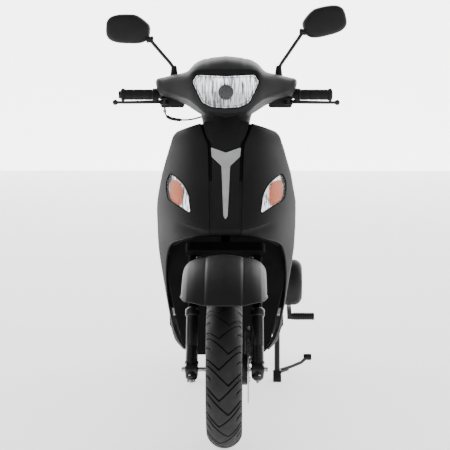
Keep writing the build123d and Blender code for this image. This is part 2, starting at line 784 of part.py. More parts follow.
mirror_aft = 352.0
mirror_width = 127.0
mirror_height = 84.0
mirror_corner = 30.0
mirror_base_x = 148.0
barrel_radius = 6.0
mirrors = (("left", 1, 14.0, 1133.0), ("right", -1, 2.0, 1112.0))
for name, side, tilt, centre_z in mirrors:
    half_span = (mirror_width / 2 - mirror_corner) * cos(radians(tilt))
    half_span = half_span + (mirror_height / 2 - mirror_corner) * sin(radians(tilt)) + mirror_corner
    centre_x = side * (mirror_reach - half_span)
    face = Plane(
        origin=at(centre_x, mirror_aft + 16, centre_z),
        x_dir=(cos(radians(tilt)), 0, side * sin(radians(tilt))),
        z_dir=(0, 1, 0),
    )
    ball = at(side * 216, mirror_aft, centre_z - 30)
    with BuildPart() as mirror_stem:
        foot = at(side * mirror_base_x, mirror_aft, 938)
        knee = at(side * mirror_base_x, mirror_aft, 1006)
        neck = ball - (ball - knee).normalized() * 5
        add(bent_tube([foot, knee, neck], 18, 5))
        add(rod_between(foot + Vector(0, 0, 38), foot + Vector(0, 0, 70), 10))
        add(cross_rod(ball.X - 6, ball.X + 6, mirror_aft, ball.Z, barrel_radius))
    write(mirror_stem, name + "_mirror_stem")
    with BuildPart() as mirror_shell:
        with BuildSketch(face):
            RectangleRounded(mirror_width, mirror_height, mirror_corner)
        extrude(amount=-14)
        with BuildSketch(face.offset(-14)):
            RectangleRounded(mirror_width, mirror_height, mirror_corner)
        extrude(amount=-20, taper=35)
        with BuildSketch(face):
            RectangleRounded(mirror_width - 6, mirror_height - 6, mirror_corner - 3)
        extrude(amount=-14, mode=Mode.SUBTRACT)
        add(cross_rod(ball.X - 9, ball.X + 9, mirror_aft, ball.Z, 9))
        socket = cross_rod(ball.X - 6.1, ball.X + 6.1, mirror_aft, ball.Z, barrel_radius + running_gap)
        add(socket, mode=Mode.SUBTRACT)
        for turn in (-13, -6.5, 0, 6.5, 13):
            reach = (knee - ball).rotate(Axis.X, turn)
            add(rod_between(ball, ball + reach, 5.4), mode=Mode.SUBTRACT)
    write(mirror_shell, name + "_mirror_shell")
    with BuildPart() as mirror_glass:
        with BuildSketch(face.offset(-4)):
            RectangleRounded(mirror_width - 7, mirror_height - 7, mirror_corner - 3.5)
        extrude(amount=3)
    write(mirror_glass, name + "_mirror_glass")

# ---------------------------------------------------------------- fork lower legs and front wheel

lower_top = 205.0
with BuildPart() as fork_lowers:
    for side in (1, -1):
        with BuildSketch(steer_plane(front_axle_z, -22 + leg_forward * tan(radians(rake)))):
            with Locations((side * leg_x, -leg_forward)):
                Circle(leg_radius)
        extrude(amount=lower_top)
        low_x, high_x = sorted((side * 72, side * 105))
        add(cross_rod(low_x, high_x, 0, front_axle_z, 17))
    with BuildSketch(steer_plane(front_axle_z, 20 + leg_forward * tan(radians(rake)))):
        with Locations((leg_x, -leg_forward), (-leg_x, -leg_forward)):
            Circle(stanchion_radius + running_gap)
    extrude(amount=lower_top, mode=Mode.SUBTRACT)
    add(cross_rod(-110, 110, 0, front_axle_z, axle_radius), mode=Mode.SUBTRACT)
write(fork_lowers, "fork_lowers")

with BuildPart() as front_axle:
    add(cross_rod(-116, 116, 0, front_axle_z, axle_radius))
    for low_x, high_x in ((-115, -105.2), (105.2, 115)):
        with BuildSketch(Plane.YZ.offset(low_x)):
            with Locations((aft(0), front_axle_z)):
                RegularPolygon(10.5, 6)
        extrude(amount=high_x - low_x)
    add(cross_rod(-71.5, -47, 0, front_axle_z, 19))
write(front_axle, "front_axle")

with BuildPart() as brake_caliper:
    add(side_prism([(44, 214), (92, 222), (98, 258), (84, 296), (52, 302), (38, 262)], 53, 79))
    add(side_prism([(22, 228), (46, 224), (50, 300), (40, 310)], 76, 82))
    add(cross_rod(58.5, 67.5, 0, front_axle_z, disc_radius + 4), mode=Mode.SUBTRACT)
    with BuildSketch(steer_plane(front_axle_z, -60)):
        with Locations((leg_x, -leg_forward)):
            Circle(leg_radius + 0.1)
    extrude(amount=300, mode=Mode.SUBTRACT)
write(brake_caliper, "brake_caliper")


def rim_section(distance, z):
    """The rim's barrel with its two flanges, turned about the axle."""
    with BuildPart() as barrel:
        with BuildSketch(radial_plane(distance, z)):
            with BuildLine():
                Polyline(
                    (-rim_half_width, 134), (-31, 134), (-31, 126.5), (31, 126.5), (31, 134),
                    (rim_half_width, 134), (rim_half_width, 118), (20, 113), (-20, 113),
                    (-rim_half_width, 118), close=True,
                )
            make_face()
        revolve(axis=Axis(at(0, distance, z), (1, 0, 0)))
    return barrel.part


def spokes(distance, z, hub_radius, half_depth):
    """Five cast spokes between the hub and the barrel."""
    with BuildPart() as web:
        with BuildSketch(Plane.YZ.offset(-half_depth)):
            with Locations((aft(distance), z)):
                with PolarLocations((hub_radius + 114) / 2, 5, start_angle=90):
                    Rectangle(118 - hub_radius, 22)
        extrude(amount=2 * half_depth)
    return web.part


with BuildPart() as front_rim:
    add(rim_section(0, front_axle_z))
    add(spokes(0, front_axle_z, 26, 14))
    add(cross_rod(-46.5, 46, 0, front_axle_z, 28))
    add(cross_rod(44, disc_x - 2, 0, front_axle_z, 41))
    add(cross_rod(-70, 70, 0, front_axle_z, axle_radius + running_gap), mode=Mode.SUBTRACT)
write(front_rim, "front_rim")

with BuildPart() as brake_disc:
    with BuildSketch(Plane.YZ.offset(disc_x - 2)):
        with Locations((aft(0), front_axle_z)):
            Circle(disc_radius)
            Circle(30, mode=Mode.SUBTRACT)
            with PolarLocations(68, 18):
                Circle(4, mode=Mode.SUBTRACT)
    extrude(amount=4)
write(brake_disc, "brake_disc")


def tyre(distance, z):
    """A hollow tyre carcass with a round crown, turned about the axle."""
    edge = tyre_half_width
    with BuildPart() as carcass:
        with BuildSketch(radial_plane(distance, z)):
            with BuildLine():
                ThreePointArc((-edge, 172), (0, tyre_radius), (edge, 172))
                Polyline(
                    (edge, 172), (30.6, 140), (30.6, rim_radius), (22, rim_radius), (22, 142),
                    (edge - 7, 170),
                )
                ThreePointArc((edge - 7, 170), (0, tyre_radius - 9), (7 - edge, 170))
                Polyline(
                    (7 - edge, 170), (-22, 142), (-22, rim_radius), (-30.6, rim_radius), (-30.6, 140),
                    (-edge, 172),
                )
            make_face()
        revolve(axis=Axis(at(0, distance, z), (1, 0, 0)))
    return carcass.part


with BuildPart() as front_tyre:
    add(tyre(0, front_axle_z))
write(front_tyre, "front_tyre")

# ---------------------------------------------------------------- engine, drive and rear wheel

with BuildPart() as crankcase:
    add(side_prism([(905, 222), (918, 372), (1024, 376), (1024, 216)], -60, 62))
    add(belt_outline(82, 62, 60, case_left_x))
    for side in (1, -1):
        low_x, high_x = sorted((side * 44, side * 60))
        arm = [(806, 200), (806, 230), (916, 262), (930, 222), (876, 176), (836, 176)]
        add(side_prism(arm, low_x, high_x))
        add(cross_rod(low_x, high_x, engine_pivot_aft, engine_pivot_z, 15))
    add(cross_rod(-70, 70, engine_pivot_aft, engine_pivot_z, axle_radius + running_gap), mode=Mode.SUBTRACT)
    add(cross_rod(-70, 70, stand_pivot_aft, stand_pivot_z, 11 + running_gap), mode=Mode.SUBTRACT)
    add(cross_rod(55, 110, wheelbase, rear_axle_z, 8), mode=Mode.SUBTRACT)
    add(cross_rod(-50, 50, crank_aft, crank_z, 58), mode=Mode.SUBTRACT)
    add(side_prism([(1225, 270), (1275, 270), (1258, 330), (1242, 330)], 62, 70))
    add(cross_rod(70, 106, shock_bottom[0], shock_bottom[1], 5))
write(crankcase, "crankcase")

with BuildPart() as cylinder:
    add(block(-34, 34, 836, 904.5, 262, 336))
    for index in range(8):
        near = 846 + index * 7.8
        add(block(-42, 42, near, near + 3, 250, 350))
    add(block(-30, 30, 820, 838, 264, 334))
write(cylinder, "cylinder")

bulge_radius = 75.0
bulge_x = 240.0
with BuildPart() as cvt_cover:
    add(belt_outline(82, 62, case_left_x + 0.2, 150))
    with BuildSketch(Plane.YZ.offset(149)):
        with Locations((aft(crank_aft), crank_z)):
            Circle(bulge_radius)
    extrude(amount=bulge_x - 149)
    bulge_edge = cvt_cover.edges().filter_by(GeomType.CIRCLE).sort_by(Axis.X)[-1]
    fillet(bulge_edge, 26)
    add(belt_outline(78, 58, case_left_x, 146), mode=Mode.SUBTRACT)
    add(cross_rod(140, bulge_x - 30, crank_aft, crank_z, bulge_radius - 5), mode=Mode.SUBTRACT)
    add(cross_rod(146, 168, kick_aft, kick_z, 17))
    add(cross_rod(140, 170, kick_aft, kick_z, 8 + running_gap), mode=Mode.SUBTRACT)
write(cvt_cover, "cvt_cover")

with BuildPart() as air_filter:
    add(side_prism([(1085, 364), (1085, 423), (1172, 416), (1172, 346)], 66, 150))
    add(side_prism([(1088, 368), (1088, 420), (1169, 413), (1169, 352)], 69, 147), mode=Mode.SUBTRACT)
write(air_filter, "air_filter")

header_route = [
    (-14, 832, 261.5), (-14, 832, 158), (-88, 846, 158), (-92, 893, 163), (-94, 938, 252), (-132, 1000, 292),
]
with BuildPart() as exhaust:
    add(bent_tube([at(x, distance, z) for x, distance, z in header_route], 20, 12, 2))
    muffler_start = at(-150, 1004, 296)
    muffler_end = at(-150, 1360, 352)
    add(rod_between(muffler_start, muffler_end, 50))
    muffler_dir = (muffler_end - muffler_start).normalized()
    add(rod_between(muffler_start + muffler_dir * 3, muffler_end - muffler_dir * 3, 47.5), mode=Mode.SUBTRACT)
    add(rod_between(muffler_end - Vector(0, 2, 18), muffler_end + muffler_dir * 26 - Vector(0, 0, 18), 11))
write(exhaust, "exhaust")

with BuildPart() as kick_lever:
    add(cross_rod(147, 206, kick_aft, kick_z, 8))
    arm = [(kick_aft + 12, kick_z - 8), (kick_aft + 4, kick_z + 13), (939, 199), (939, 179), (952, 177)]
    add(side_prism(arm, 192, 206))
    add(cross_rod(205, 280, 945, 188, 11))
write(kick_lever, "kick_lever")

with BuildPart() as rear_rim:
    add(rim_section(wheelbase, rear_axle_z))
    add(spokes(wheelbase, rear_axle_z, 56, 14))
    add(cross_rod(-40, 50, wheelbase, rear_axle_z, 60))
    add(cross_rod(-62, 95, wheelbase, rear_axle_z, 8 - running_gap))
    with BuildSketch(Plane.YZ.offset(-58)):
        with Locations((aft(wheelbase), rear_axle_z)):
            RegularPolygon(15, 6)
    extrude(amount=18)
    add(cross_rod(4, 46, wheelbase, rear_axle_z, 54), mode=Mode.SUBTRACT)
    add(cross_rod(3, 47, wheelbase, rear_axle_z, 20))
write(rear_rim, "rear_rim")

with BuildPart() as rear_tyre:
    add(tyre(wheelbase, rear_axle_z))
write(rear_tyre, "rear_tyre")

# Rear shock absorber, from its top pin to the lug on the drive case
shock_head = at(shock_x, *shock_top)
shock_tail = at(shock_x, *shock_bottom)
shock_dir = (shock_tail - shock_head).normalized()
with BuildPart() as shock_upper:
    add(rod_between(shock_head + shock_dir * 10, shock_head + shock_dir * 190, 16))
    add(rod_between(shock_head + shock_dir * 26, shock_head + shock_dir * 31, 27))
    add(cross_rod(shock_x - 12, shock_x + 12, *shock_top, 15))
    bore_start = shock_head + shock_dir * 60
    add(rod_between(bore_start, shock_head + shock_dir * 200, 6 + running_gap), mode=Mode.SUBTRACT)
    add(cross_rod(shock_x - 16, shock_x + 16, *shock_top, 7 + running_gap), mode=Mode.SUBTRACT)
write(shock_upper, "shock_upper")

with BuildPart() as shock_lower:
    add(rod_between(shock_head + shock_dir * 140, shock_tail, 6))
    add(rod_between(shock_tail - shock_dir * 32, shock_tail - shock_dir * 27, 27))
    add(rod_between(shock_tail - shock_dir * 30, shock_tail, 9))
    add(cross_rod(shock_x - 10, shock_x + 10, *shock_bottom, 15))
    add(cross_rod(shock_x - 16, shock_x + 16, *shock_bottom, 9.5), mode=Mode.SUBTRACT)
write(shock_lower, "shock_lower")

with BuildPart() as shock_spring:
    spring_length = (shock_tail - shock_head).length - 32 - 31.6
    with BuildLine() as coil:
        Helix(pitch=26, height=spring_length - 8, radius=22)
    with BuildSketch(Plane(origin=coil.line @ 0, z_dir=coil.line % 0)):
        Circle(3.5)
    sweep(path=coil.line)
spring_plane = Plane(origin=shock_head + shock_dir * 35.5, x_dir=(1, 0, 0), z_dir=shock_dir)
shock_spring.part = spring_plane.location * shock_spring.part
write(shock_spring, "shock_spring")

# Centre stand: a cross tube, two legs with flat feet and a foot tang on the left
with BuildPart() as centre_stand:
    add(cross_rod(stand_right_x, stand_left_x, stand_pivot_aft, stand_pivot_z, 11))
    for x in (stand_left_x, stand_right_x):
        add(rod_between(at(x, stand_pivot_aft, stand_pivot_z), at(x, stand_foot_aft + 2, 16), 9))
        add(side_prism([(800, 0), (850, 0), (846, 14), (836, 34), (818, 34), (802, 12)], x - 13, x + 13))
    add(plan_prism([(158, 826), (168, 822), (196, 868), (158, 850)], 24, 30))
    add(bent_tube([at(160, 834, 30), at(205, 884, 34), at(238, 922, 40), at(258, 950, 52)], 20, 5.5))
    add(rod_between(at(246, 950, 52), at(272, 950, 52), 9))
write(centre_stand, "centre_stand")
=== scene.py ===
import json
from math import cos, exp, hypot, pi, radians, sin, sqrt, tan

import bmesh
import bpy
from mathutils import Matrix, Vector, noise


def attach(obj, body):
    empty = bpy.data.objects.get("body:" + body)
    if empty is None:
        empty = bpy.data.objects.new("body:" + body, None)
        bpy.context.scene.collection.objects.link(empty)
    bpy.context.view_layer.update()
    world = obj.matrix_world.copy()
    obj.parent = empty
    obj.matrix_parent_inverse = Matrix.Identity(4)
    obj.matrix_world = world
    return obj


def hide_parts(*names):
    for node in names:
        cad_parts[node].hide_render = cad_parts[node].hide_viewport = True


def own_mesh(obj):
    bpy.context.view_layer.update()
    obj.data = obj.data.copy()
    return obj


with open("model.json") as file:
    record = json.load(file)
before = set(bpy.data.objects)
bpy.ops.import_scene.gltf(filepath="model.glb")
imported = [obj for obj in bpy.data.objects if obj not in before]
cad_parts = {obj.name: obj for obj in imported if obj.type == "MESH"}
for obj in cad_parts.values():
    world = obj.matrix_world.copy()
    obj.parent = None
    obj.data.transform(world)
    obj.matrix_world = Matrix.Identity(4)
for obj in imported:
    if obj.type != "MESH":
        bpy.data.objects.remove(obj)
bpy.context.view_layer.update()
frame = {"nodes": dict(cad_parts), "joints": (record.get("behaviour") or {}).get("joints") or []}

# The look of the scooter. Lengths in the tables are millimetres: X, distance aft of the front axle, height.
joints = {joint["name"]: joint for joint in frame["joints"]}
front_axle = Vector(joints["front_spin"]["pos_m"])
rear_axle = Vector(joints["rear_spin"]["pos_m"])
steer_dir = Vector(joints["steer"]["axis"]).normalized()
mm = 0.001


def aft(distance):
    """Row Y, in metres, of a distance in millimetres behind the front axle."""
    return front_axle.y + distance * mm


def at(x, distance, z):
    """A point in metres from millimetres: X, distance aft, height."""
    return Vector((x * mm, aft(distance), z * mm))


# ------------------------------------------------------------------ materials

def node_material(name, color, roughness, metallic=0.0, **sockets):
    """A Principled material and its node tree, with plain values on the shader's own sockets."""
    material = bpy.data.materials.new(name)
    material.use_nodes = True
    shader = material.node_tree.nodes["Principled BSDF"]
    shader.inputs["Base Color"].default_value = (*color, 1)
    shader.inputs["Roughness"].default_value = roughness
    shader.inputs["Metallic"].default_value = metallic
    for socket, value in sockets.items():
        shader.inputs[socket.replace("_", " ")].default_value = value
    return material, material.node_tree, shader


def noise_value(tree, scale, detail=4.0, stretch=(1, 1, 1)):
    """Noise in object space, as a node whose output 0 runs from 0 to 1."""
    coords = tree.nodes.new("ShaderNodeTexCoord")
    mapping = tree.nodes.new("ShaderNodeMapping")
    mapping.inputs["Scale"].default_value = stretch
    texture = tree.nodes.new("ShaderNodeTexNoise")
    texture.inputs["Scale"].default_value = scale
    texture.inputs["Detail"].default_value = detail
    tree.links.new(coords.outputs["Object"], mapping.inputs["Vector"])
    tree.links.new(mapping.outputs["Vector"], texture.inputs["Vector"])
    return texture


def ramp(tree, value, low, high, start=0.35, end=0.65):
    """Map a value to a colour between low and high."""
    node = tree.nodes.new("ShaderNodeValToRGB")
    node.color_ramp.elements[0].position = start
    node.color_ramp.elements[1].position = end
    node.color_ramp.elements[0].color = (*low, 1)
    node.color_ramp.elements[1].color = (*high, 1)
    tree.links.new(value, node.inputs["Fac"])
    return node.outputs["Color"]


def span(tree, value, low, high):
    """Map a value from 0..1 to low..high."""
    node = tree.nodes.new("ShaderNodeMapRange")
    node.inputs["To Min"].default_value = low
    node.inputs["To Max"].default_value = high
    tree.links.new(value, node.inputs["Value"])
    return node.outputs["Result"]


def bump(tree, shader, height, strength, distance):
    """Add a bump on top of any bump the shader already has."""
    node = tree.nodes.new("ShaderNodeBump")
    node.inputs["Strength"].default_value = strength
    node.inputs["Distance"].default_value = distance
    tree.links.new(height, node.inputs["Height"])
    earlier = shader.inputs["Normal"].links
    if earlier:
        tree.links.new(earlier[0].from_socket, node.inputs["Normal"])
    tree.links.new(node.outputs["Normal"], shader.inputs["Normal"])


def voronoi_value(tree, scale):
    """Cell distance in object space."""
    coords = tree.nodes.new("ShaderNodeTexCoord")
    texture = tree.nodes.new("ShaderNodeTexVoronoi")
    texture.inputs["Scale"].default_value = scale
    tree.links.new(coords.outputs["Object"], texture.inputs["Vector"])
    return texture.outputs["Distance"]


def mottled(name, dark, light, rough, metallic=0.0, grain=900.0, grain_depth=0.00012, broad=14.0,
            **sockets):
    """A moulded or cast surface: slow colour drift, varied gloss and a fine grain."""
    material, tree, shader = node_material(name, light, rough[0], metallic, **sockets)
    drift = noise_value(tree, broad)
    tree.links.new(ramp(tree, drift.outputs[0], dark, light), shader.inputs["Base Color"])
    smudge = noise_value(tree, broad * 3.1, 6.0)
    tree.links.new(span(tree, smudge.outputs[0], *rough), shader.inputs["Roughness"])
    fine = noise_value(tree, grain, 3.0)
    bump(tree, shader, fine.outputs[0], 0.35, grain_depth)
    return material


def grey(level):
    return (level, level, level * 1.04)


panel_mat = mottled("panel_satin", grey(0.006), grey(0.009), (0.44, 0.54), broad=9, grain=1400, IOR=1.3)
trim_black = mottled("black_textured", grey(0.006), grey(0.009), (0.50, 0.64), grain=700,
                     grain_depth=0.0003, Specular_IOR_Level=0.25)
# Near-black liner: the real black of the wheel liner, gaskets and pans, and also painted shade at the bottoms
# of the leg-shield and tyre grooves.
liner_and_shade_mat = mottled("liner_black_and_painted_shade", grey(0.002), grey(0.004), (0.65, 0.8), grain=500, grain_depth=0.0004,
                    Specular_IOR_Level=0.12)
rubber_mat = mottled("rubber_black", grey(0.006), grey(0.010), (0.55, 0.72), grain=600,
                     grain_depth=0.0003, Specular_IOR_Level=0.25)
tyre_mat = mottled("tyre_rubber", grey(0.008), grey(0.014), (0.58, 0.76), grain=800, grain_depth=0.0003,
                   broad=30, Specular_IOR_Level=0.3)
paint_mat = mottled("frame_paint", grey(0.005), grey(0.009), (0.26, 0.38), grain=300, grain_depth=0.0002,
                    Specular_IOR_Level=0.35)
steel_mat = mottled("zinc_steel", (0.30, 0.30, 0.31), (0.44, 0.44, 0.45), (0.28, 0.45), 1.0, broad=60)
disc_mat = mottled("disc_steel", (0.42, 0.42, 0.43), (0.55, 0.55, 0.56), (0.22, 0.32), 1.0, broad=80)
chrome_mat = mottled("chrome", (0.78, 0.78, 0.80), (0.86, 0.86, 0.88), (0.05, 0.12), 1.0,
                     grain_depth=0.00002)
alloy_mat = mottled("cast_alloy", (0.16, 0.16, 0.165), (0.26, 0.26, 0.265), (0.42, 0.6), 0.9, grain=500,
                    grain_depth=0.0003)
rim_mat = mottled("rim_black", grey(0.016), grey(0.026), (0.32, 0.46), 0.2, grain=500)
silver_mat = mottled("satin_silver", (0.50, 0.505, 0.51), (0.58, 0.585, 0.59), (0.30, 0.38), 0.65,
                     grain=2600, broad=40)
exhaust_mat = mottled("exhaust_black", (0.020, 0.018, 0.017), (0.035, 0.030, 0.026), (0.5, 0.75), 0.3,
                      grain=260, grain_depth=0.0004)
amber_mat = mottled("amber_bulb", (0.55, 0.06, 0.004), (0.90, 0.19, 0.02), (0.2, 0.35), grain=300,
                    broad=220)
red_mat = mottled("red_lens", (0.32, 0.008, 0.006), (0.50, 0.015, 0.010), (0.08, 0.16), grain=200,
                  Coat_Weight=0.5)
plate_mat = mottled("bulb_cap", grey(0.004), grey(0.012), (0.3, 0.5), 0.0, grain=400, IOR=1.3)
translucent_mat = mottled("tank_grey", grey(0.03), grey(0.05), (0.4, 0.6), grain=400)


def reflector_material():
    """Aluminised bowl with soft vertical streaks of painted reflection in its colour, and a painted glow."""
    material, tree, shader = node_material("reflector_painted_glow", (0.93, 0.94, 0.95), 0.16, 1.0)
    painted_reflection_streaks = noise_value(tree, 60.0, 3.0, (4.0, 1.0, 0.35))
    # Painted reflection: dark and light streaks in the colour, and a painted glow from the light streaks,
    # though the bowl is no lamp.
    tree.links.new(ramp(tree, painted_reflection_streaks.outputs[0], (0.28, 0.29, 0.31), (0.97, 0.98, 1.0), 0.38, 0.56),
                   shader.inputs["Base Color"])
    bump(tree, shader, painted_reflection_streaks.outputs[0], 0.6, 0.002)
    tree.links.new(ramp(tree, painted_reflection_streaks.outputs[0], (0.02, 0.02, 0.03), (0.9, 0.95, 1.0), 0.40, 0.62),
                   shader.inputs["Emission Color"])
    shader.inputs["Emission Strength"].default_value = 1.1
    return material


def clear_material(name, tint, alpha, rough):
    """A thin moulded lens, mostly see-through, with faint ripples."""
    material, tree, shader = node_material(name, tint, rough, 0.0, Alpha=alpha, IOR=1.49)
    ripple = noise_value(tree, 90.0, 2.0, (3.0, 1.0, 0.5))
    bump(tree, shader, ripple.outputs[0], 0.35, 0.0008)
    tree.links.new(span(tree, ripple.outputs[0], rough, rough * 2.2), shader.inputs["Roughness"])
    return material


def vinyl_material():
    """Grained seat vinyl: pebbled cells with finer creases, the colour painted darker in the crease hollows
    as shade.
    """
    material, tree, shader = node_material("seat_vinyl", grey(0.02), 0.5, 0.0, Sheen_Weight=0.08)
    pebbles = voronoi_value(tree, 420.0)
    bump(tree, shader, pebbles, 0.55, 0.0006)
    wrinkle_and_crease_shade = noise_value(tree, 55.0, 8.0)
    bump(tree, shader, wrinkle_and_crease_shade.outputs[0], 0.25, 0.0012)
    # Painted crease shade: the colour follows the wrinkle height, darker in the hollows.
    tree.links.new(ramp(tree, wrinkle_and_crease_shade.outputs[0], grey(0.010), grey(0.019)), shader.inputs["Base Color"])
    tree.links.new(span(tree, pebbles, 0.42, 0.66), shader.inputs["Roughness"])
    return material


def mirror_material():
    material, tree, shader = node_material("mirror_silver", (0.86, 0.88, 0.9), 0.02, 1.0)
    haze = noise_value(tree, 25.0, 5.0)
    tree.links.new(span(tree, haze.outputs[0], 0.01, 0.05), shader.inputs["Roughness"])
    return material


reflector_mat = reflector_material()
lens_mat = clear_material("headlight_lens", (0.92, 0.95, 0.97), 0.035, 0.03)
signal_lens_mat = clear_material("signal_lens", (0.97, 0.96, 0.95), 0.045, 0.05)
vinyl_mat = vinyl_material()
mirror_mat = mirror_material()

# ------------------------------------------------------------------ mesh helpers

def finish_piece(obj, material, body, replaces=(), sharp=35.0):
    """Give a piece its material, smooth shading and body, and hide the CAD nodes it stands for."""
    if material is not None:
        obj.data.materials.clear()
        obj.data.materials.append(material)
    obj.data.shade_smooth()
    obj.data.set_sharp_from_angle(angle=radians(sharp))
    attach(obj, body)
    if replaces:
        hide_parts(*replaces)
    return obj


def mesh_object(name, points, faces):
    """A mesh object in the scene, from points in metres and faces."""
    mesh = bpy.data.meshes.new(name)
    mesh.from_pydata([tuple(point) for point in points], [], faces)
    mesh.update()
    obj = bpy.data.objects.new(name, mesh)
    bpy.context.scene.collection.objects.link(obj)
    return obj


def dressed(obj, material):
    """Add a material to a part, and hand the part back."""
    obj.data.materials.append(material)
    return obj


def tidy(obj, merge=0.00002, outward=True):
    """Merge doubled points, drop empty faces and turn the faces outward."""
    edit = bmesh.new()
    edit.from_mesh(obj.data)
    bmesh.ops.remove_doubles(edit, verts=edit.verts, dist=merge)
    bmesh.ops.dissolve_degenerate(edit, edges=edit.edges, dist=merge)
    if outward:
        bmesh.ops.recalc_face_normals(edit, faces=edit.faces)
    edit.to_mesh(obj.data)
    edit.free()
    return obj


def surface(name, rows, closed_rows=False, closed_columns=False, cap_ends=False):
    """A skin of quads over rows of points."""
    count = len(rows[0])
    points = [point for row in rows for point in row]
    faces = []
    for i in range(len(rows) - (0 if closed_columns else 1)):
        for j in range(count - (0 if closed_rows else 1)):
            k, l = (i + 1) % len(rows), (j + 1) % count
            faces.append((i * count + j, i * count + l, k * count + l, k * count + j))
    if cap_ends:
        faces.append(tuple(reversed(range(count))))
        faces.append(tuple((len(rows) - 1) * count + j for j in range(count)))
    return tidy(mesh_object(name, points, faces))


def modify(obj, *modifiers):
    """Apply modifiers given as (type, settings) and keep the result as the object's mesh."""
    for kind, settings in modifiers:
        modifier = obj.modifiers.new(kind, kind)
        for key, value in settings.items():
            setattr(modifier, key, value)
    bpy.context.view_layer.update()
    graph = bpy.context.evaluated_depsgraph_get()
    mesh = bpy.data.meshes.new_from_object(obj.evaluated_get(graph))
    obj.modifiers.clear()
    obj.data = mesh
    return obj


def thicken(obj, thickness, bevel=0.0):
    """Give a skin its thickness, inward, with a softened edge."""
    steps = [("SOLIDIFY", {"thickness": thickness * mm, "offset": -1.0, "use_even_offset": False})]
    if bevel:
        steps.append(("BEVEL", {"width": bevel * mm, "segments": 2, "limit_method": "ANGLE",
                                "angle_limit": radians(50)}))
    return modify(obj, *steps)


def cut(obj, cutter, operation="DIFFERENCE"):
    """Boolean with a cutter object, which is then removed."""
    modify(obj, ("BOOLEAN", {"operation": operation, "object": cutter, "solver": "EXACT"}))
    bpy.data.objects.remove(cutter)
    return obj


def join(name, parts):
    """Join mesh objects into one."""
    edit = bmesh.new()
    materials = []
    for part in parts:
        mesh = part.data.copy()
        mesh.transform(part.matrix_world)
        for material in mesh.materials:
            if material not in materials:
                materials.append(material)
        lookup = [materials.index(material) for material in mesh.materials]
        start = len(edit.faces)
        edit.from_mesh(mesh)
        edit.faces.ensure_lookup_table()
        for face in edit.faces[start:]:
            if lookup:
                face.material_index = lookup[min(face.material_index, len(lookup) - 1)]
        bpy.data.objects.remove(part)
    obj = mesh_object(name, [], [])
    edit.to_mesh(obj.data)
    edit.free()
    for material in materials:
        obj.data.materials.append(material)
    return obj


def blend_value(table, position):
    """Smoothly interpolate rows of numbers, whose first number is the key."""
    if position <= table[0][0]:
        return list(table[0][1:])
    if position >= table[-1][0]:
        return list(table[-1][1:])
    index = max(i for i in range(len(table) - 1) if table[i][0] <= position)
    a, b = table[index], table[index + 1]
    before = table[index - 1] if index else a
    after = table[index + 2] if index + 2 < len(table) else b
    gap = b[0] - a[0]
    t = (position - a[0]) / gap
    result = []
    for column in range(1, len(a)):
        slope_a = (b[column] - before[column]) / max(b[0] - before[0], 1e-9) * gap
        slope_b = (after[column] - a[column]) / max(after[0] - a[0], 1e-9) * gap
        result.append(
            a[column] * (2 * t**3 - 3 * t**2 + 1) + slope_a * (t**3 - 2 * t**2 + t)
            + b[column] * (3 * t**2 - 2 * t**3) + slope_b * (t**3 - t**2)
        )
    return result


def soft_step(value):
    """0 below 0, 1 above 1, and a smooth step between."""
    value = min(max(value, 0.0), 1.0)
    return value * value * (3 - 2 * value)


def rounded(outline, radius, steps=6, spacing=4.0):
    """A closed outline with its corners rounded and its long sides divided."""
    count = len(outline)
    result = []
    for i in range(count):
        here = Vector(outline[i])
        to_last = Vector(outline[i - 1]) - here
        to_next = Vector(outline[(i + 1) % count]) - here
        reach = min(radius, to_last.length * 0.45, to_next.length * 0.45)
        start = here + to_last.normalized() * reach
        end = here + to_next.normalized() * reach
        if result:
            side = start - result[-1]
            pieces = int(side.length / spacing)
            result += [result[-1] + side * (k / (pieces + 1)) for k in range(1, pieces + 1)]
        for k in range(steps + 1):
            t = k / steps
            result.append(start * (1 - t) ** 2 + here * 2 * t * (1 - t) + end * t**2)
    side = result[0] - result[-1]
    pieces = int(side.length / spacing)
    last = result[-1]
    result += [last + side * (k / (pieces + 1)) for k in range(1, pieces + 1)]
    return result


def soft_outline(points, radius, steps, spacing):
    """The outline with rounded corners, as plain pairs."""
    return [tuple(p) for p in rounded(points, radius, steps, spacing)]


def both_sides(half):
    """A full outline from its half at +X."""
    return half + [(-x, z) for x, z in reversed(half) if x > 0]


def between(p0, p1, p2, p3, t):
    """A point at share t from p1 to p2 on a smooth line through four points."""
    return 0.5 * (2 * p1 + (p2 - p0) * t + (2 * p0 - 5 * p1 + 4 * p2 - p3) * t**2
                  + (3 * p1 - p0 - 3 * p2 + p3) * t**3)


def squared(value, power):
    """A cosine or sine pushed outward, so that a circle becomes a rounded square."""
    return abs(value) ** power * (1 if value > 0 else -1)


def smooth_path(points, steps=8):
    """A smooth line through points."""
    points = [Vector(point) for point in points]
    result = []
    for i in range(len(points) - 1):
        p0, p1, p2 = points[max(i - 1, 0)], points[i], points[i + 1]
        p3 = points[min(i + 2, len(points) - 1)]
        for k in range(steps):
            t = k / steps
            result.append(between(p0, p1, p2, p3, t))
    return result + [points[-1]]


def sweep(name, path, section, closed=False, up=(0, 0, 1), caps=True):
    """Carry a section along a path. section(i, share) gives the points across, in metres."""
    rows = []
    count = len(path)
    side = None
    for i, point in enumerate(path):
        ahead = path[(i + 1) % count] if closed or i + 1 < count else point
        behind = path[i - 1] if closed or i else point
        run = (ahead - behind).normalized()
        if side is None:
            side = run.cross(Vector(up))
            if side.length < 0.1:
                side = run.cross(Vector((1, 0, 0)))
        side = (side - run * side.dot(run)).normalized()
        over = side.cross(run)
        rows.append([point + side * a + over * b for a, b in section(i, i / max(count - 1, 1))])
    return surface(name, rows, closed_rows=True, closed_columns=closed, cap_ends=caps and not closed)


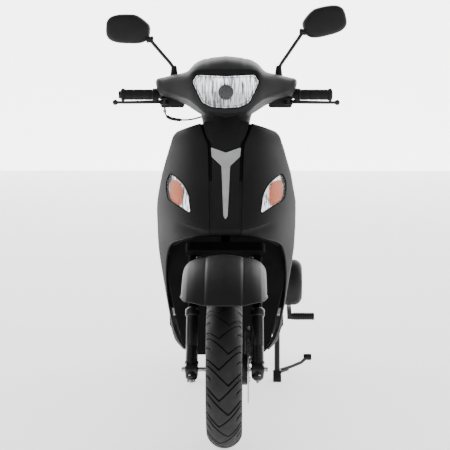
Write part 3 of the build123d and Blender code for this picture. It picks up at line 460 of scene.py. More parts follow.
def circle_section(radius, sides=16):
    """A round section in millimetres, whose radius may be a function of the share along the path."""
    def section(index, share):
        r = (radius(share) if callable(radius) else radius) * mm
        return [(r * cos(2 * pi * k / sides), r * sin(2 * pi * k / sides)) for k in range(sides)]
    return section


def oval_section(wide, tall, sides):
    """An oval section from its two half widths in millimetres."""
    def section(index, share):
        return [(wide * mm * cos(2 * pi * k / sides), tall * mm * sin(2 * pi * k / sides))
                for k in range(sides)]
    return section


def lathe(name, profile, centre, axis, sides=48, closed=True):
    """Turn a profile of (along, radius) millimetres about an axis through a centre."""
    axis = Vector(axis).normalized()
    first = axis.orthogonal().normalized()
    second = axis.cross(first)
    rows = []
    for k in range(sides):
        turn = 2 * pi * k / sides
        out = first * cos(turn) + second * sin(turn)
        rows.append([Vector(centre) + axis * (a * mm) + out * (r * mm) for a, r in profile])
    return surface(name, rows, closed_rows=closed, closed_columns=True)


def hex_bolt(name, centre, axis, width=10.0, height=5.0):
    """A hexagon bolt head with a chamfered top on a round washer."""
    axis = Vector(axis).normalized()
    first = axis.orthogonal().normalized()
    second = axis.cross(first)
    rows = []
    washer = [(0, width * 0.75, 24), (1.2, width * 0.75, 24), (1.2, width * 0.5, 6),
              (height - 1, width * 0.5, 6), (height, width * 0.42, 6), (height, 0.4, 6)]
    for along, radius, sides in washer:
        row = []
        for k in range(24):
            turn = 2 * pi * k / 24
            r = radius
            if sides == 6:
                r = radius / cos((turn % (pi / 3)) - pi / 6) * 0.9
            out = first * cos(turn) + second * sin(turn)
            row.append(Vector(centre) + axis * (along * mm) + out * (r * mm))
        rows.append(row)
    return surface(name, rows, closed_rows=True, cap_ends=True)


def screw(name, centre, axis, radius=4.5):
    """A pan-head screw."""
    axis = Vector(axis).normalized()
    profile = [(-1, 0.2), (-1, radius), (1.0, radius), (2.2, radius * 0.8), (2.8, radius * 0.4), (2.9, 0.2)]
    return lathe(name, profile, centre, axis, 20, False)


def plate(name, outline, wrap, low, high, bevel=0.0, inner=None, spacing=4.0):
    """A flat outline made solid between two lifts, each point placed by wrap(x, z, lift)."""
    curve = bpy.data.curves.new(name, "CURVE")
    curve.dimensions = "2D"
    curve.fill_mode = "BOTH"
    curve.extrude = (high - low) / 2 - bevel
    curve.bevel_depth = bevel
    curve.bevel_resolution = 2
    for loop in [outline] + ([inner] if inner else []):
        spline = curve.splines.new("POLY")
        spline.points.add(len(loop) - 1)
        for point, (x, z) in zip(spline.points, loop):
            point.co = (x, z, 0, 1)
        spline.use_cyclic_u = True
    flat = bpy.data.objects.new(name, curve)
    bpy.context.scene.collection.objects.link(flat)
    bpy.context.view_layer.update()
    mesh = bpy.data.meshes.new_from_object(flat)
    bpy.data.objects.remove(flat)
    edit = bmesh.new()
    edit.from_mesh(mesh)
    bmesh.ops.remove_doubles(edit, verts=edit.verts, dist=0.001)
    long_edges = [edge for edge in edit.edges if edge.calc_length() > spacing * 2.5]
    for _ in range(3):
        if not long_edges:
            break
        bmesh.ops.subdivide_edges(edit, edges=long_edges, cuts=1, use_grid_fill=False)
        bmesh.ops.triangulate(edit, faces=[face for face in edit.faces if len(face.verts) > 4])
        long_edges = [edge for edge in edit.edges if edge.calc_length() > spacing * 2.5]
    middle = (low + high) / 2
    for vert in edit.verts:
        vert.co = wrap(vert.co.x, vert.co.y, middle + vert.co.z)
    bmesh.ops.recalc_face_normals(edit, faces=edit.faces)
    obj = mesh_object(name, [], [])
    edit.to_mesh(obj.data)
    edit.free()
    return obj

# ------------------------------------------------------------------ leg shield

# Height, half width, distance aft in the middle, distance aft at the edge.
shield_rows = [
    (183, 118, 230, 350), (226, 152, 222, 346), (312, 168, 205, 338), (417, 185, 180, 332),
    (489, 196, 162, 338),
    (550, 200, 150, 348), (620, 201, 184, 360), (700, 187, 224, 372), (780, 164, 260, 378),
    (818, 147, 276, 368),
    (880, 60, 296, 340),
]
# Height, inner edge of the groove, outer edge of the groove.
groove_rows = [(540, 31, 43), (600, 34, 45), (640, 36, 46), (745, 39, 49), (790, 41, 52), (818, 56, 63),
               (850, 65, 74)]
arch_half = [(0, 552), (70, 548), (121, 532), (157, 511), (168, 470), (172, 420), (167, 345), (150, 260),
             (130, 215), (98, 170)]
signal_outline = [(159.6, 706), (170, 682), (170.4, 662), (165.4, 634), (101, 604), (97, 610), (99.5, 622),
                  (104, 650), (110, 667), (123, 684), (141, 697)]
trim_half = [(0, 766), (40, 780), (38, 757), (13, 734), (11, 730), (5, 600), (0, 591)]
collar_point = at(0, 292, 857)


def shield_place(x, z, lift=0.0):
    """A point on the front of the leg shield, lifted off it along the skin's normal, in metres."""
    def depth(px, pz):
        half, middle, edge = blend_value(shield_rows, pz)
        return middle + (edge - middle) * min(abs(px) / half, 1.0) ** 2.5
    step = 0.5
    slope_x = (depth(x + step, z) - depth(x - step, z)) / (2 * step)
    slope_z = (depth(x, z + step) - depth(x, z - step)) / (2 * step)
    normal = Vector((slope_x, -1, slope_z)).normalized()
    return at(x, depth(x, z), z) + normal * lift * mm


def brow(x, z):
    """How far the skin turns in under the crease above the arch."""
    crease = 566 + 13 * soft_step((abs(x) - 43) / 75)
    fade = 1 - soft_step((abs(x) - 95) / 55)
    return -4.5 * soft_step((crease - z) / 12) * fade


def shield_skin():
    """Centre strip, grooves, side skins, rolled edges and return flanges as one skin."""
    rows = []
    z = 183.0
    while z <= 880:
        half = blend_value(shield_rows, z)[0]
        inner, outer = blend_value(groove_rows, z)
        groove = soft_step((z - 536) / 10)
        depth = (2.6 + 3.9 * soft_step((z - 640) / 150)) * groove
        columns = [(inner * k / 9, 0.0) for k in range(9)]
        columns += [(inner - 3.0, 0.0), (inner - 1.2, -0.35 * groove), (inner, -0.16 * depth),
                    (inner + 0.6, -0.5 * depth)]
        columns += [(inner + 1.0, -depth), (outer - 0.8, -depth), (outer - 0.2, -0.55 * depth),
                    (outer + 0.6, -0.15 * depth)]
        columns += [(outer + 2.2, -0.2 * groove), (outer + 4.5, 0.0)]
        reach = half - 5
        columns += [(outer + 4.5 + (reach - outer - 4.5) * k / 26, 0.0) for k in range(1, 27)]
        row = []
        for x, lift in columns:
            strip_lift = 1.0 * groove if x < inner - 1 and z > 545 else 0.0
            row.append(shield_place(x, z, lift + strip_lift + brow(x, z)))
        rim = shield_place(half - 1.0, z)
        last = row[-1]
        run = (rim - last).normalized()
        aft_dir = Vector((0, 1, 0))
        for k in range(1, 5):
            turn = k / 4 * pi / 2
            row.append(last + run * (5 * mm * sin(turn)) + aft_dir * (5 * mm * (1 - cos(turn))))
        flange = row[-1]
        for k in range(1, 5):
            row.append(flange + aft_dir * (6.5 * mm * k) + Vector((-0.25 * mm * k, 0, 0)))
        mirrored = [Vector((-point.x, point.y, point.z)) for point in reversed(row[1:])]
        rows.append(mirrored + row)
        z += 4.25 if z < 800 else 3.0
    return rows


def bisect(obj, point, normal, fill=False):
    """Cut an object by a plane and keep the side the normal points away from."""
    edit = bmesh.new()
    edit.from_mesh(obj.data)
    whole = edit.verts[:] + edit.edges[:] + edit.faces[:]
    done = bmesh.ops.bisect_plane(edit, geom=whole, plane_co=point, plane_no=normal, clear_outer=True)
    if fill:
        bmesh.ops.holes_fill(edit, edges=[item for item in done["geom_cut"]
                                          if isinstance(item, bmesh.types.BMEdge)])
    edit.to_mesh(obj.data)
    edit.free()
    return obj


def prism_cutter(outline, near, far):
    """A solid block of an outline in X and height, from one distance aft to another."""
    count = len(outline)
    points = [at(x, near, z) for x, z in outline] + [at(x, far, z) for x, z in outline]
    faces = [tuple(range(count)), tuple(reversed(range(count, 2 * count)))]
    faces += [(i, (i + 1) % count, count + (i + 1) % count, count + i) for i in range(count)]
    return tidy(mesh_object("cutter", points, faces))


def mirror_outline(outline):
    """The outline on the other side of the middle."""
    return [(-x, z) for x, z in reversed(outline)]


def inside(x, z, outline):
    """Whether a point lies in a closed outline."""
    found = False
    for i, (x1, z1) in enumerate(outline):
        x0, z0 = outline[i - 1]
        if (z0 > z) != (z1 > z) and x < (x1 - x0) * (z - z0) / (z1 - z0) + x0:
            found = not found
    return found


def open_skin(obj, outline):
    """Cut an outline in X and height out of an open skin, along exact edges."""
    edit = bmesh.new()
    edit.from_mesh(obj.data)
    for i, (x1, z1) in enumerate(outline):
        x0, z0 = outline[i - 1]
        low_x, high_x = (min(x0, x1) - 4) * mm, (max(x0, x1) + 4) * mm
        low_z, high_z = (min(z0, z1) - 4) * mm, (max(z0, z1) + 4) * mm
        faces = []
        for face in edit.faces:
            middle = face.calc_center_median()
            if low_x - 0.004 < middle.x < high_x + 0.004 and low_z - 0.004 < middle.z < high_z + 0.004:
                faces.append(face)
        near = set(faces)
        edges = {edge for face in near for edge in face.edges}
        verts = {vert for face in near for vert in face.verts}
        bmesh.ops.bisect_plane(edit, geom=list(near) + list(edges) + list(verts), plane_co=at(x0, 0, z0),
                               plane_no=Vector((z1 - z0, 0, x0 - x1)).normalized(), dist=0.00001)
    gone = []
    for face in edit.faces:
        middle = face.calc_center_median()
        if inside(middle.x / mm, middle.z / mm, outline):
            gone.append(face)
    bmesh.ops.delete(edit, geom=gone, context="FACES")
    edit.to_mesh(obj.data)
    edit.free()


shield = surface("shield_skin", shield_skin())
bisect(shield, collar_point, steer_dir)
arch_outline = soft_outline(both_sides(arch_half[:-1] + [(105, 150)]), 14, 5, 12)
open_skin(shield, arch_outline)
for outline in (signal_outline, mirror_outline(signal_outline)):
    open_skin(shield, soft_outline(outline, 7, 4, 12))
thicken(shield, 3.0)
shield.data.materials.append(panel_mat)
shield.data.materials.append(liner_and_shade_mat)
shield.data.materials.append(trim_black)
# Groove faces above 690 mm take the near-black liner material: painted shade in the grooves. Lower down the
# grooves keep the panel material.
for face in shield.data.polygons:
    centre = face.center
    x, z = abs(centre.x / mm), centre.z / mm
    inner, outer = blend_value(groove_rows, z)
    face.material_index = 1 if z > 690 and inner + 0.3 < x < outer - 0.1 and centre.y < aft(340) else 0


def open_lip(name, outline, half_width, height, material, base=0.0):
    """A rounded bead along an open line on the shield skin."""
    flat = smooth_path([(x, z, 0) for x, z in outline], 8)
    rows = []
    for i, point in enumerate(flat):
        here = shield_place(point.x, point.y, base)
        ahead, behind = flat[min(i + 1, len(flat) - 1)], flat[max(i - 1, 0)]
        run = (shield_place(ahead.x, ahead.y, base) - shield_place(behind.x, behind.y, base)).normalized()
        out = (shield_place(point.x, point.y, base + 10) - here).normalized()
        side = run.cross(out).normalized()
        share = min(i, len(flat) - 1 - i) / 4
        size = min(1.0, 0.25 + share)
        rows.append([here + side * (half_width * size * mm * cos(a)) + out * (height * size * mm * sin(a))
                     for a in [2 * pi * k / 10 for k in range(10)]])
    return dressed(surface(name, rows, closed_rows=True, cap_ends=True), material)


arch_line = [(98, 186), (130, 217), (150, 260), (167, 345), (172, 420), (168, 470), (157, 509), (121, 531),
             (70, 547), (0, 551)]
arch_loop = smooth_path([(x, z, 0) for x, z in arch_line + [(-x, z) for x,
                                                            z in reversed(arch_line[:-1])]], 6)
lining = surface("arch_lining", [[shield_place(p.x * 1.004, p.y + 1, -2.0) + Vector((0, reach * mm, 0))
                                  for p in arch_loop]
                                 for reach in (0, 15, 30, 45, 62)])
thicken(lining, 1.6)
lining.data.materials.append(liner_and_shade_mat)
arch_bead = open_lip("arch_bead", arch_line + [(-x, z) for x, z in reversed(arch_line[:-1])], 1.6, 2.2,
                     panel_mat, -1.4)
brow_bead = open_lip("brow_bead", [(122, 578), (104, 574), (78, 568.5), (60, 565), (44, 562)], 2.2, 1.3,
                     panel_mat, -0.6)
brow_bead_right = open_lip("brow_bead_r", [(-122, 578), (-104, 574), (-78, 568.5), (-60, 565),
                                           (-44, 562)], 2.2, 1.3,
                           panel_mat, -0.6)
finish_piece(join("shield_body", [shield, lining, arch_bead, brow_bead, brow_bead_right]), None,
             "chassis",
             ["leg_shield", "centre_panel"], 28)

badge_top = [(x, 852 - 0.002 * x * x) for x in (52, 40, 20, 0, -20, -40, -52)]
badge_low = [(x, 774 + 18 * (x / 40) ** 2) for x in (-37, -30, -20, -10, 0, 10, 20, 30, 37)]
badge = plate("badge_panel", soft_outline(badge_top + badge_low, 4, 4, 6), shield_place, 0.4, 2.2, 0.5)
finish_piece(bisect(badge, collar_point - steer_dir * 0.003, steer_dir), panel_mat, "chassis",
             (), 28)

# ------------------------------------------------------------------ Y trim

trim_outer = both_sides(trim_half)
trim = plate("y_trim", soft_outline(trim_outer, 2.2, 3, 4), shield_place, 0.5, 4.6, 1.0)
finish_piece(trim, silver_mat, "chassis", ["shield_trim"], 30)
ridge_half = [(0, 758), (34, 771), (32, 760), (9, 737), (7, 731), (2.5, 608), (0, 601)]
ridge = plate("y_trim_face", soft_outline(both_sides(ridge_half), 2, 3, 4), shield_place, 4.0, 5.6, 0.7)
finish_piece(ridge, silver_mat, "chassis", (), 30)

# ------------------------------------------------------------------ handlebar cowl

# X, then twelve points (distance aft, height) round the pod from under the chin, up the front and back below.
pod_sections = [
    (0, 238, 872, 215, 888, 205, 936, 215, 986, 236, 1009, 272, 1028, 330, 1036, 386, 1031, 428, 1006, 443,
     955, 420, 892, 330, 862),
    (60, 240, 880, 217, 895, 207, 938, 217, 985, 238, 1007, 274, 1021, 330, 1028, 386, 1023, 426, 999, 440,
     950, 416, 894, 330, 868),
    (88, 248, 900, 226, 910, 215, 940, 222, 984, 242, 1001, 276, 1010, 328, 1015, 380, 1010, 418, 991, 431,
     948, 408, 902, 330, 882),
    (110, 266, 914, 247, 920, 237, 942, 239, 970, 254, 983, 284, 991, 328, 993, 375, 989, 408, 973, 420,
     945, 402, 908, 335, 896),
    (150, 300, 920, 288, 925, 281, 940, 283, 962, 292, 975, 312, 981, 340, 983, 372, 980, 396, 966, 404,
     943, 394, 920, 345, 914),
    (182, 328, 924, 320, 929, 315, 942, 316, 957, 323, 967, 338, 973, 354, 975, 374, 972, 389, 963, 395,
     947, 388, 930, 356, 920),
    (195, 340, 941, 334, 945, 331, 951, 332, 960, 337, 967, 347, 971, 358, 972, 373, 970, 384, 964, 389,
     955, 384, 945, 360, 938),
    (200, 352, 956, 349, 957, 347, 959, 348, 962, 350, 965, 354, 966, 360, 967, 366, 966, 371, 964, 373,
     961, 370, 957, 362, 955),
]
lens_half = [(0, 982), (80, 986), (93.5, 966), (66, 908), (40, 895), (0, 892)]


def pod_row(x):
    """The cowl's closed section at X, as points of (X, distance aft, height) in millimetres."""
    values = blend_value(pod_sections, x)
    points = [Vector((x, values[i], values[i + 1])) for i in range(0, 24, 2)]
    loop = []
    for i in range(12):
        p0, p1, p2, p3 = points[i - 1], points[i], points[(i + 1) % 12], points[(i + 2) % 12]
        for k in range(7):
            loop.append(between(p0, p1, p2, p3, k / 7))
    return loop


def pod_shape(x, point):
    """Add the wing crease and the visor brow to a point of the pod."""
    d, z = point.y, point.z
    front = 1 - soft_step((d - 250) / 80)
    crease_z = 915 + 0.3 * (abs(x) - 93)
    along = soft_step((abs(x) - 84) / 22) * (1 - soft_step((abs(x) - 165) / 28))
    crease = exp(-((z - crease_z) / 5.0) ** 2) * along
    brow_lift = exp(-((z - 996) / 6.0) ** 2) * front * (1 - soft_step((abs(x) - 70) / 25))
    dome_line = exp(-((abs(x) - 52) / 5.0) ** 2) * soft_step((z - 1000) / 20)
    return at(x, d - 2.4 * crease - 1.6 * brow_lift, z - 1.4 * dome_line)


pod_rows = []
x = -200.0
while x <= 200.01:
    pod_rows.append([pod_shape(x, point) for point in pod_row(abs(x))])
    x += 4 if abs(x) < 186 else 2
pod = surface("pod", pod_rows, closed_rows=True, cap_ends=True)


def lens_depth(x, z, lift=0.0):
    """A point on the headlight's front, from X and height."""
    return at(x, 207 + 10 * (abs(x) / 90) ** 3 + 0.0038 * (z - 938) ** 2 - lift, z)


lens_outline = soft_outline(both_sides(lens_half), 7, 6, 6)


def grown(outline, amount, centre=(0, 938)):
    """An outline moved out from its centre by an amount."""
    return [(x + amount * (x - centre[0]) / 90, z + amount * (z - centre[1]) / 46) for x, z in outline]


cut(pod, prism_cutter(grown(lens_outline, 1.2), 150, 262))
rear_pod = pod.copy()
rear_pod.data = pod.data.copy()
bpy.context.scene.collection.objects.link(rear_pod)
rear_pod.name = "rear_pod"
bisect(pod, at(0, 351.2, 0), Vector((0, 1, 0)), True)
bisect(rear_pod, at(0, 352.8, 0), Vector((0, -1, 0)), True)


def neck_row(height, wide, deep, dent):
    """One ring of the neck below the cowl."""
    centre = at(0, -80 + height * tan(radians(26)), height)
    along = steer_dir.cross(Vector((1, 0, 0))).normalized()
    row = []
    for k in range(48):
        turn = 2 * pi * k / 48
        flat = 1 - dent * max(0.0, sin(turn)) ** 6 * 0.35
        row.append(centre + Vector((1, 0,
                                    0)) * (wide * mm * cos(turn)) + along * (deep * mm * sin(turn) * flat))
    return row


neck = surface("neck", [neck_row(806 + 7 * k, 66 - 0.8 * k + 0.16 * k * k, 46 + 0.5 * k, 0.2)
                        for k in range(13)],
               closed_rows=True, cap_ends=True)
recess = plate("chin_recess", soft_outline([(-34, 866), (34, 866), (38, 884), (-38, 884)], 6, 4, 6),
               lambda x, z, lift: at(x, 242 + (884 - z) * 1.2 - lift, z), -4, 2, 1)
recess.data.materials.append(liner_and_shade_mat)
slot_mark = plate("chin_slot", soft_outline([(-2, 876), (2, 876), (2, 884), (-2, 884)], 1.5, 3, 3),
                  lambda x, z, lift: at(x, 242 + (884 - z) * 1.2 - lift, z), 0, 3, 0.6)
slot_mark.data.materials.append(silver_mat)
for part in (pod, rear_pod, neck):
    part.data.materials.clear()
    part.data.materials.append(panel_mat)
finish_piece(join("cowl_front", [pod, neck, recess, slot_mark]), None, "steering",
             ["headlight_cowl"], 40)
finish_piece(rear_pod, panel_mat, "steering", ["rear_cowl"], 40)

# ------------------------------------------------------------------ headlight


def bowl_place(x, z, lift):
    """A point on the reflector: a bowl with upright flutes beside the bulb."""
    radius = hypot(x, (z - 936) * 1.3)
    depth = 254 - 24 * min(radius / 92, 1.0) ** 2
    flute = 1.5 * cos(x * 2 * pi / 11.0) * soft_step((radius - 24) / 8)
    return at(x, depth + flute - lift, z)


bowl_outline = soft_outline(both_sides(lens_half), 8, 6, 3)


def filled_grid(name, outline, place, step=2.2):
    """A skin over an outline, as a grid clipped to it, placed by place(x, z, 0)."""
    xs = [p[0] for p in outline]
    rows = []
    count = int((max(xs) - min(xs)) / step)
    for i in range(count + 1):
        x = min(xs) + (max(xs) - min(xs)) * min(max(i / count, 0.002), 0.998)
        crossings = []
        for j in range(len(outline)):
            (x0, z0), (x1, z1) = outline[j], outline[(j + 1) % len(outline)]
            if (x0 - x) * (x1 - x) <= 0 and x0 != x1:
                crossings.append(z0 + (z1 - z0) * (x - x0) / (x1 - x0))
        low, high = min(crossings), max(crossings)
        rows.append([place(x, low + (high - low) * k / 30, 0.0) for k in range(31)])
    return surface(name, rows)


bowl = filled_grid("headlight_bowl", bowl_outline, bowl_place)
thicken(bowl, 1.2)
finish_piece(bowl, reflector_mat, "steering", ["headlight_reflector"], 50)
bulb_centre = at(0, 251, 936)
bulb_profile = [(0, 0.5), (0, 12), (2, 20), (5, 21), (6, 19.5), (8, 19.5), (9, 20.5), (11, 20), (12, 17.5),
                (14, 17.5), (15, 18), (17, 16.5), (18, 13), (20, 13), (21, 13.5), (24, 10), (26, 5),
                (26.5, 0.5)]
bulb = lathe("bulb_cap", bulb_profile, bulb_centre, (0, -1, 0), 40, False)
finish_piece(bulb, plate_mat, "steering", (), 40)
lens = filled_grid("lens_cover", lens_outline, lambda x, z, lift: lens_depth(x, z,
                                                                             0.2 * cos(x * 2 * pi / 8)))
thicken(lens, 2.4)
finish_piece(lens, lens_mat, "steering", ["headlight_lens"], 50)


def face_bead(name, outline, place, half_width, height, material):
    """A rounded bead round an outline on a surface given by place(x, z, lift)."""
    rows = []
    count = len(outline)
    path = [place(x, z, 0.0) for x, z in outline]
    above = [place(x, z, 8.0) for x, z in outline]
    for i, point in enumerate(path):
        run = (path[(i + 1) % count] - path[i - 1]).normalized()
        out = (above[i] - point).normalized()
        side = run.cross(out).normalized()
        rows.append([point + side * (half_width * mm * cos(a)) + out * (height * mm * sin(a))
                     for a in [2 * pi * k / 12 for k in range(12)]])
    return dressed(surface(name, rows, closed_rows=True, closed_columns=True), material)


gasket = face_bead("lens_gasket", grown(lens_outline, 0.2), lambda x, z,
                   lift: lens_depth(x, z, lift - 0.5), 2.0, 1.8, liner_and_shade_mat)
inner_line = face_bead("lens_inner_line", grown(lens_outline, -6), lambda x, z,
                       lift: at(x, 226 - lift, z), 0.8, 1.5, trim_black)
finish_piece(join("headlight_gasket", [gasket, inner_line]), None, "steering", (), 40)

# ------------------------------------------------------------------ front mudguard

fender_rows = [(0, 305.5), (23, 303.5), (42, 300.5), (49, 297), (56, 296.5), (76, 293.5), (93, 286.5),
               (99, 281), (105, 273), (108.5, 265), (110, 256), (110, 246)]


def fender_place(x, radius, angle):
    turn = radians(angle)
    return at(x, -radius * sin(turn), 208 + radius * cos(turn))


def lip_angle(x, radius):
    """How far forward the mudguard reaches: furthest in the middle, with rounded corners."""
    if radius < 264:
        return 35 - 7 * (264 - radius) / 18
    return blend_value([(0, 47), (40, 46.2), (67, 44.4), (88, 42.4), (99, 40.6), (105, 38), (108.6, 35)],
                       abs(x))[0]


def fender_skin():
    profile = smooth_path([(x, r, 0) for x, r in fender_rows], 4)
    profile = [(-p.x, p.y) for p in reversed(profile[1:])] + [(p.x, p.y) for p in profile]
    rows = []
    steps = 60
    for k in range(steps + 1):
        row = []
        for x, radius in profile:
            side = soft_step((285 - radius) / 38)
            start = -18 + 3 * side
            end = lip_angle(x, radius)
            row.append(fender_place(x, radius, start + (end - start) * k / steps))
        rows.append(row)
    return rows


fender = surface("fender_skin", fender_skin())
thicken(fender, 3.0, 1.0)
fender_bolts = [screw("fender_screw", fender_place(x, 296.5, -8),
                      Vector((0, sin(radians(8)), cos(radians(8)))), 6)
                for x in (-70, 70)]
for bolt in fender_bolts:
    bolt.data.materials.append(paint_mat)
fender.data.materials.append(panel_mat)
lip_path = [fender_place(p[0], p[1] - 1.5, lip_angle(p[0], p[1]) - 0.3)
            for p in [(-q.x, q.y) for q in reversed(smooth_path([(x, r, 0) for x, r in fender_rows],
                                                                4)[1:])]
            + [(q.x, q.y) for q in smooth_path([(x, r, 0) for x, r in fender_rows], 4)]]
fender_lip = dressed(sweep("fender_lip", lip_path, circle_section(2.2, 10)), panel_mat)
finish_piece(join("front_mudguard", [fender, fender_lip] + fender_bolts), None, "steering",
             ["front_fender"], 45)

# ------------------------------------------------------------------ tyres


def tyre_mesh(name, axle):
    """A tyre with sweeping V grooves whose points step from side to side, and nicks at the shoulders."""
    crown = [(48.7 * sin(radians(a)), 159.3 + 48.7 * cos(radians(a))) for a in
             (0, 4, 8, 12, 16, 20, 24, 28, 32, 36, 40, 44, 48, 52, 56, 60, 64, 68, 72)]
    wall = [(47, 171), (46.6, 168), (46.9, 166.5), (46.2, 165), (44.4, 159), (42.2, 154), (42.4, 152.5),
            (41, 151), (37.5, 146), (34, 141), (32.6, 137), (33.2, 135.5), (32.4, 134), (31, 128),
            (26, 127)]
    half = crown + wall
    profile = [(-x, r) for x, r in reversed(half[1:])] + half
    pitches = 32
    pitch = 2 * pi * 208 / pitches
    offsets = (-3.2, -2.2, 2.1, 3.1, 9, 16.0, 17.0, 20.0, 21.0, 27, 34)
    rows = []
    for n in range(pitches):
        for offset in offsets:
            share = max(0.0, (offset - 3.1) / (pitch - 6.3))
            here, following = (12, -12) if n % 2 == 0 else (-12, 12)
            row = []
            for x, radius in profile:
                shear_a = abs(x - here)
                shear_b = abs(x - following)
                reach = min(1.0, (1 - soft_step((abs(x) - 40) / 8)))
                shift = (shear_a * (1 - share) + shear_b * share) * 1.0 * min(1.0, 40 / max(abs(x), 1))
                arc = n * pitch + offset - shift
                depth = 0.0
                if offset in (-2.2, 2.1):
                    depth = 4.2 * reach * soft_step((abs(x - here) - 1.0) / 3 + 0.6)
                if offset in (17.0, 20.0):
                    depth = 2.6 * soft_step((abs(x) - 30) / 4) * (1 - soft_step((abs(x) - 45) / 2))
                turn = arc / 208
                if radius < 172:
                    depth = 0.0
                r = (radius - depth) * mm
                row.append(Vector((x * mm, -r * sin(turn), r * cos(turn))))
            rows.append(row)
    obj = dressed(surface(name, rows, closed_columns=True), tyre_mat)
    # Faces below the crown, the groove bottoms, take the near-black liner material: painted shade in the
    # grooves.
    obj.data.materials.append(liner_and_shade_mat)
    for face in obj.data.polygons:
        x, radius = abs(face.center.x / mm), hypot(face.center.y, face.center.z) / mm
        face.material_index = 1 if x < 45 and radius < 157 + sqrt(48.7**2 - x * x) else 0
    obj.data.transform(Matrix.Translation(axle))
    return obj


front_tyre = tyre_mesh("front_tread", front_axle)
rear_tyre = mesh_object("rear_tread", [], [])
rear_tyre.data = front_tyre.data.copy()
rear_tyre.data.transform(Matrix.Translation(rear_axle - front_axle))
for tyre_obj, body, node in ((front_tyre, "front_wheel", "front_tyre"),
                             (rear_tyre, "rear_wheel", "rear_tyre")):
    tube_ring = lathe(node + "_liner", [(-30, 127.6), (-38, 160), (-20, 196), (0, 200), (20, 196),
                                        (38, 160), (30, 127.6)],
                      front_axle if body == "front_wheel" else rear_axle, (1, 0, 0), 96)
    tube_ring.data.materials.append(tyre_mat)
    finish_piece(join(node + "_rubber", [tyre_obj, tube_ring]), None, body, [node], 32)

# ------------------------------------------------------------------ front turn signals


def signal(side):
    """One turn signal: black pan, bright bowl, amber cap, fluted lens, gasket and a bright edge."""
    def place(x, z, lift):
        return shield_place(side * x, z, lift)
    hand = "left" if side > 0 else "right"
    outline = soft_outline(signal_outline, 7, 5, 4)
    middle = (140, 655)

    def inset(amount):
        """The outline moved in towards its middle by an amount."""
        return [(x + (middle[0] - x) * amount / 38, z + (middle[1] - z) * amount / 50) for x, z in outline]

    pan = dressed(plate("pan", outline, place, -12, -10, 0.4), liner_and_shade_mat)
    bowl_skin = filled_grid("signal_bowl", inset(2.5),
                            lambda x, z, lift: place(
                                x, z, -8.5 + 2.2 * (hypot(x - 141, (z - 655) * 0.7) / 36) ** 2), 2.5)
    thicken(bowl_skin, 0.8)
    bowl_skin.data.materials.append(reflector_mat)
    cap_outline = soft_outline([(124, 668), (137, 688), (160, 690), (165, 672), (162, 640), (150, 624),
                                (128, 622)], 9, 5, 4)
    cap_skin = filled_grid("amber_cap", cap_outline,
                           lambda x, z, lift: place(
                               x, z, -2.6 - 2.6 * (hypot(x - 144, (z - 656) * 0.65) / 24) ** 2
                               + 0.8 * cos(z * 2 * pi / 7) * cos(x * 2 * pi / 7)), 1.2)
    thicken(cap_skin, 0.8)
    cap_skin.data.materials.append(amber_mat)
    cover = filled_grid("signal_cover", inset(0.6),
                        lambda x, z, lift: place(x, z, 0.4 + 0.25 * cos((x + z * 0.35) * 2 * pi / 4.5)
                                                 - 2.2 * (hypot(x - 140, (z - 655) * 0.62) / 36) ** 4), 1.4)
    thicken(cover, 1.6)
    cover.data.materials.append(signal_lens_mat)
    rim = face_bead("signal_gasket", outline, lambda x, z, lift: place(x, z, lift - 0.8), 1.7, 1.8,
                    liner_and_shade_mat)
    edge_line = open_lip("signal_edge", [(side * x, z) for x,
                                         z in [(101, 640), (105, 652), (112, 667), (124, 682), (140, 694)]],
                         1.1, 1.4, silver_mat, 0.6)
    finish_piece(join(hand + "_signal_housing", [pan, rim, edge_line]), None, "chassis",
                 (), 40)
    finish_piece(join(hand + "_signal_optics", [bowl_skin, cap_skin]), None, "chassis",
                 (), 40)
    cover.name = hand + "_signal_lens"
    finish_piece(cover, None, "chassis", ["front_signals"], 60)


for side in (1, -1):
    signal(side)

# ------------------------------------------------------------------ mirrors


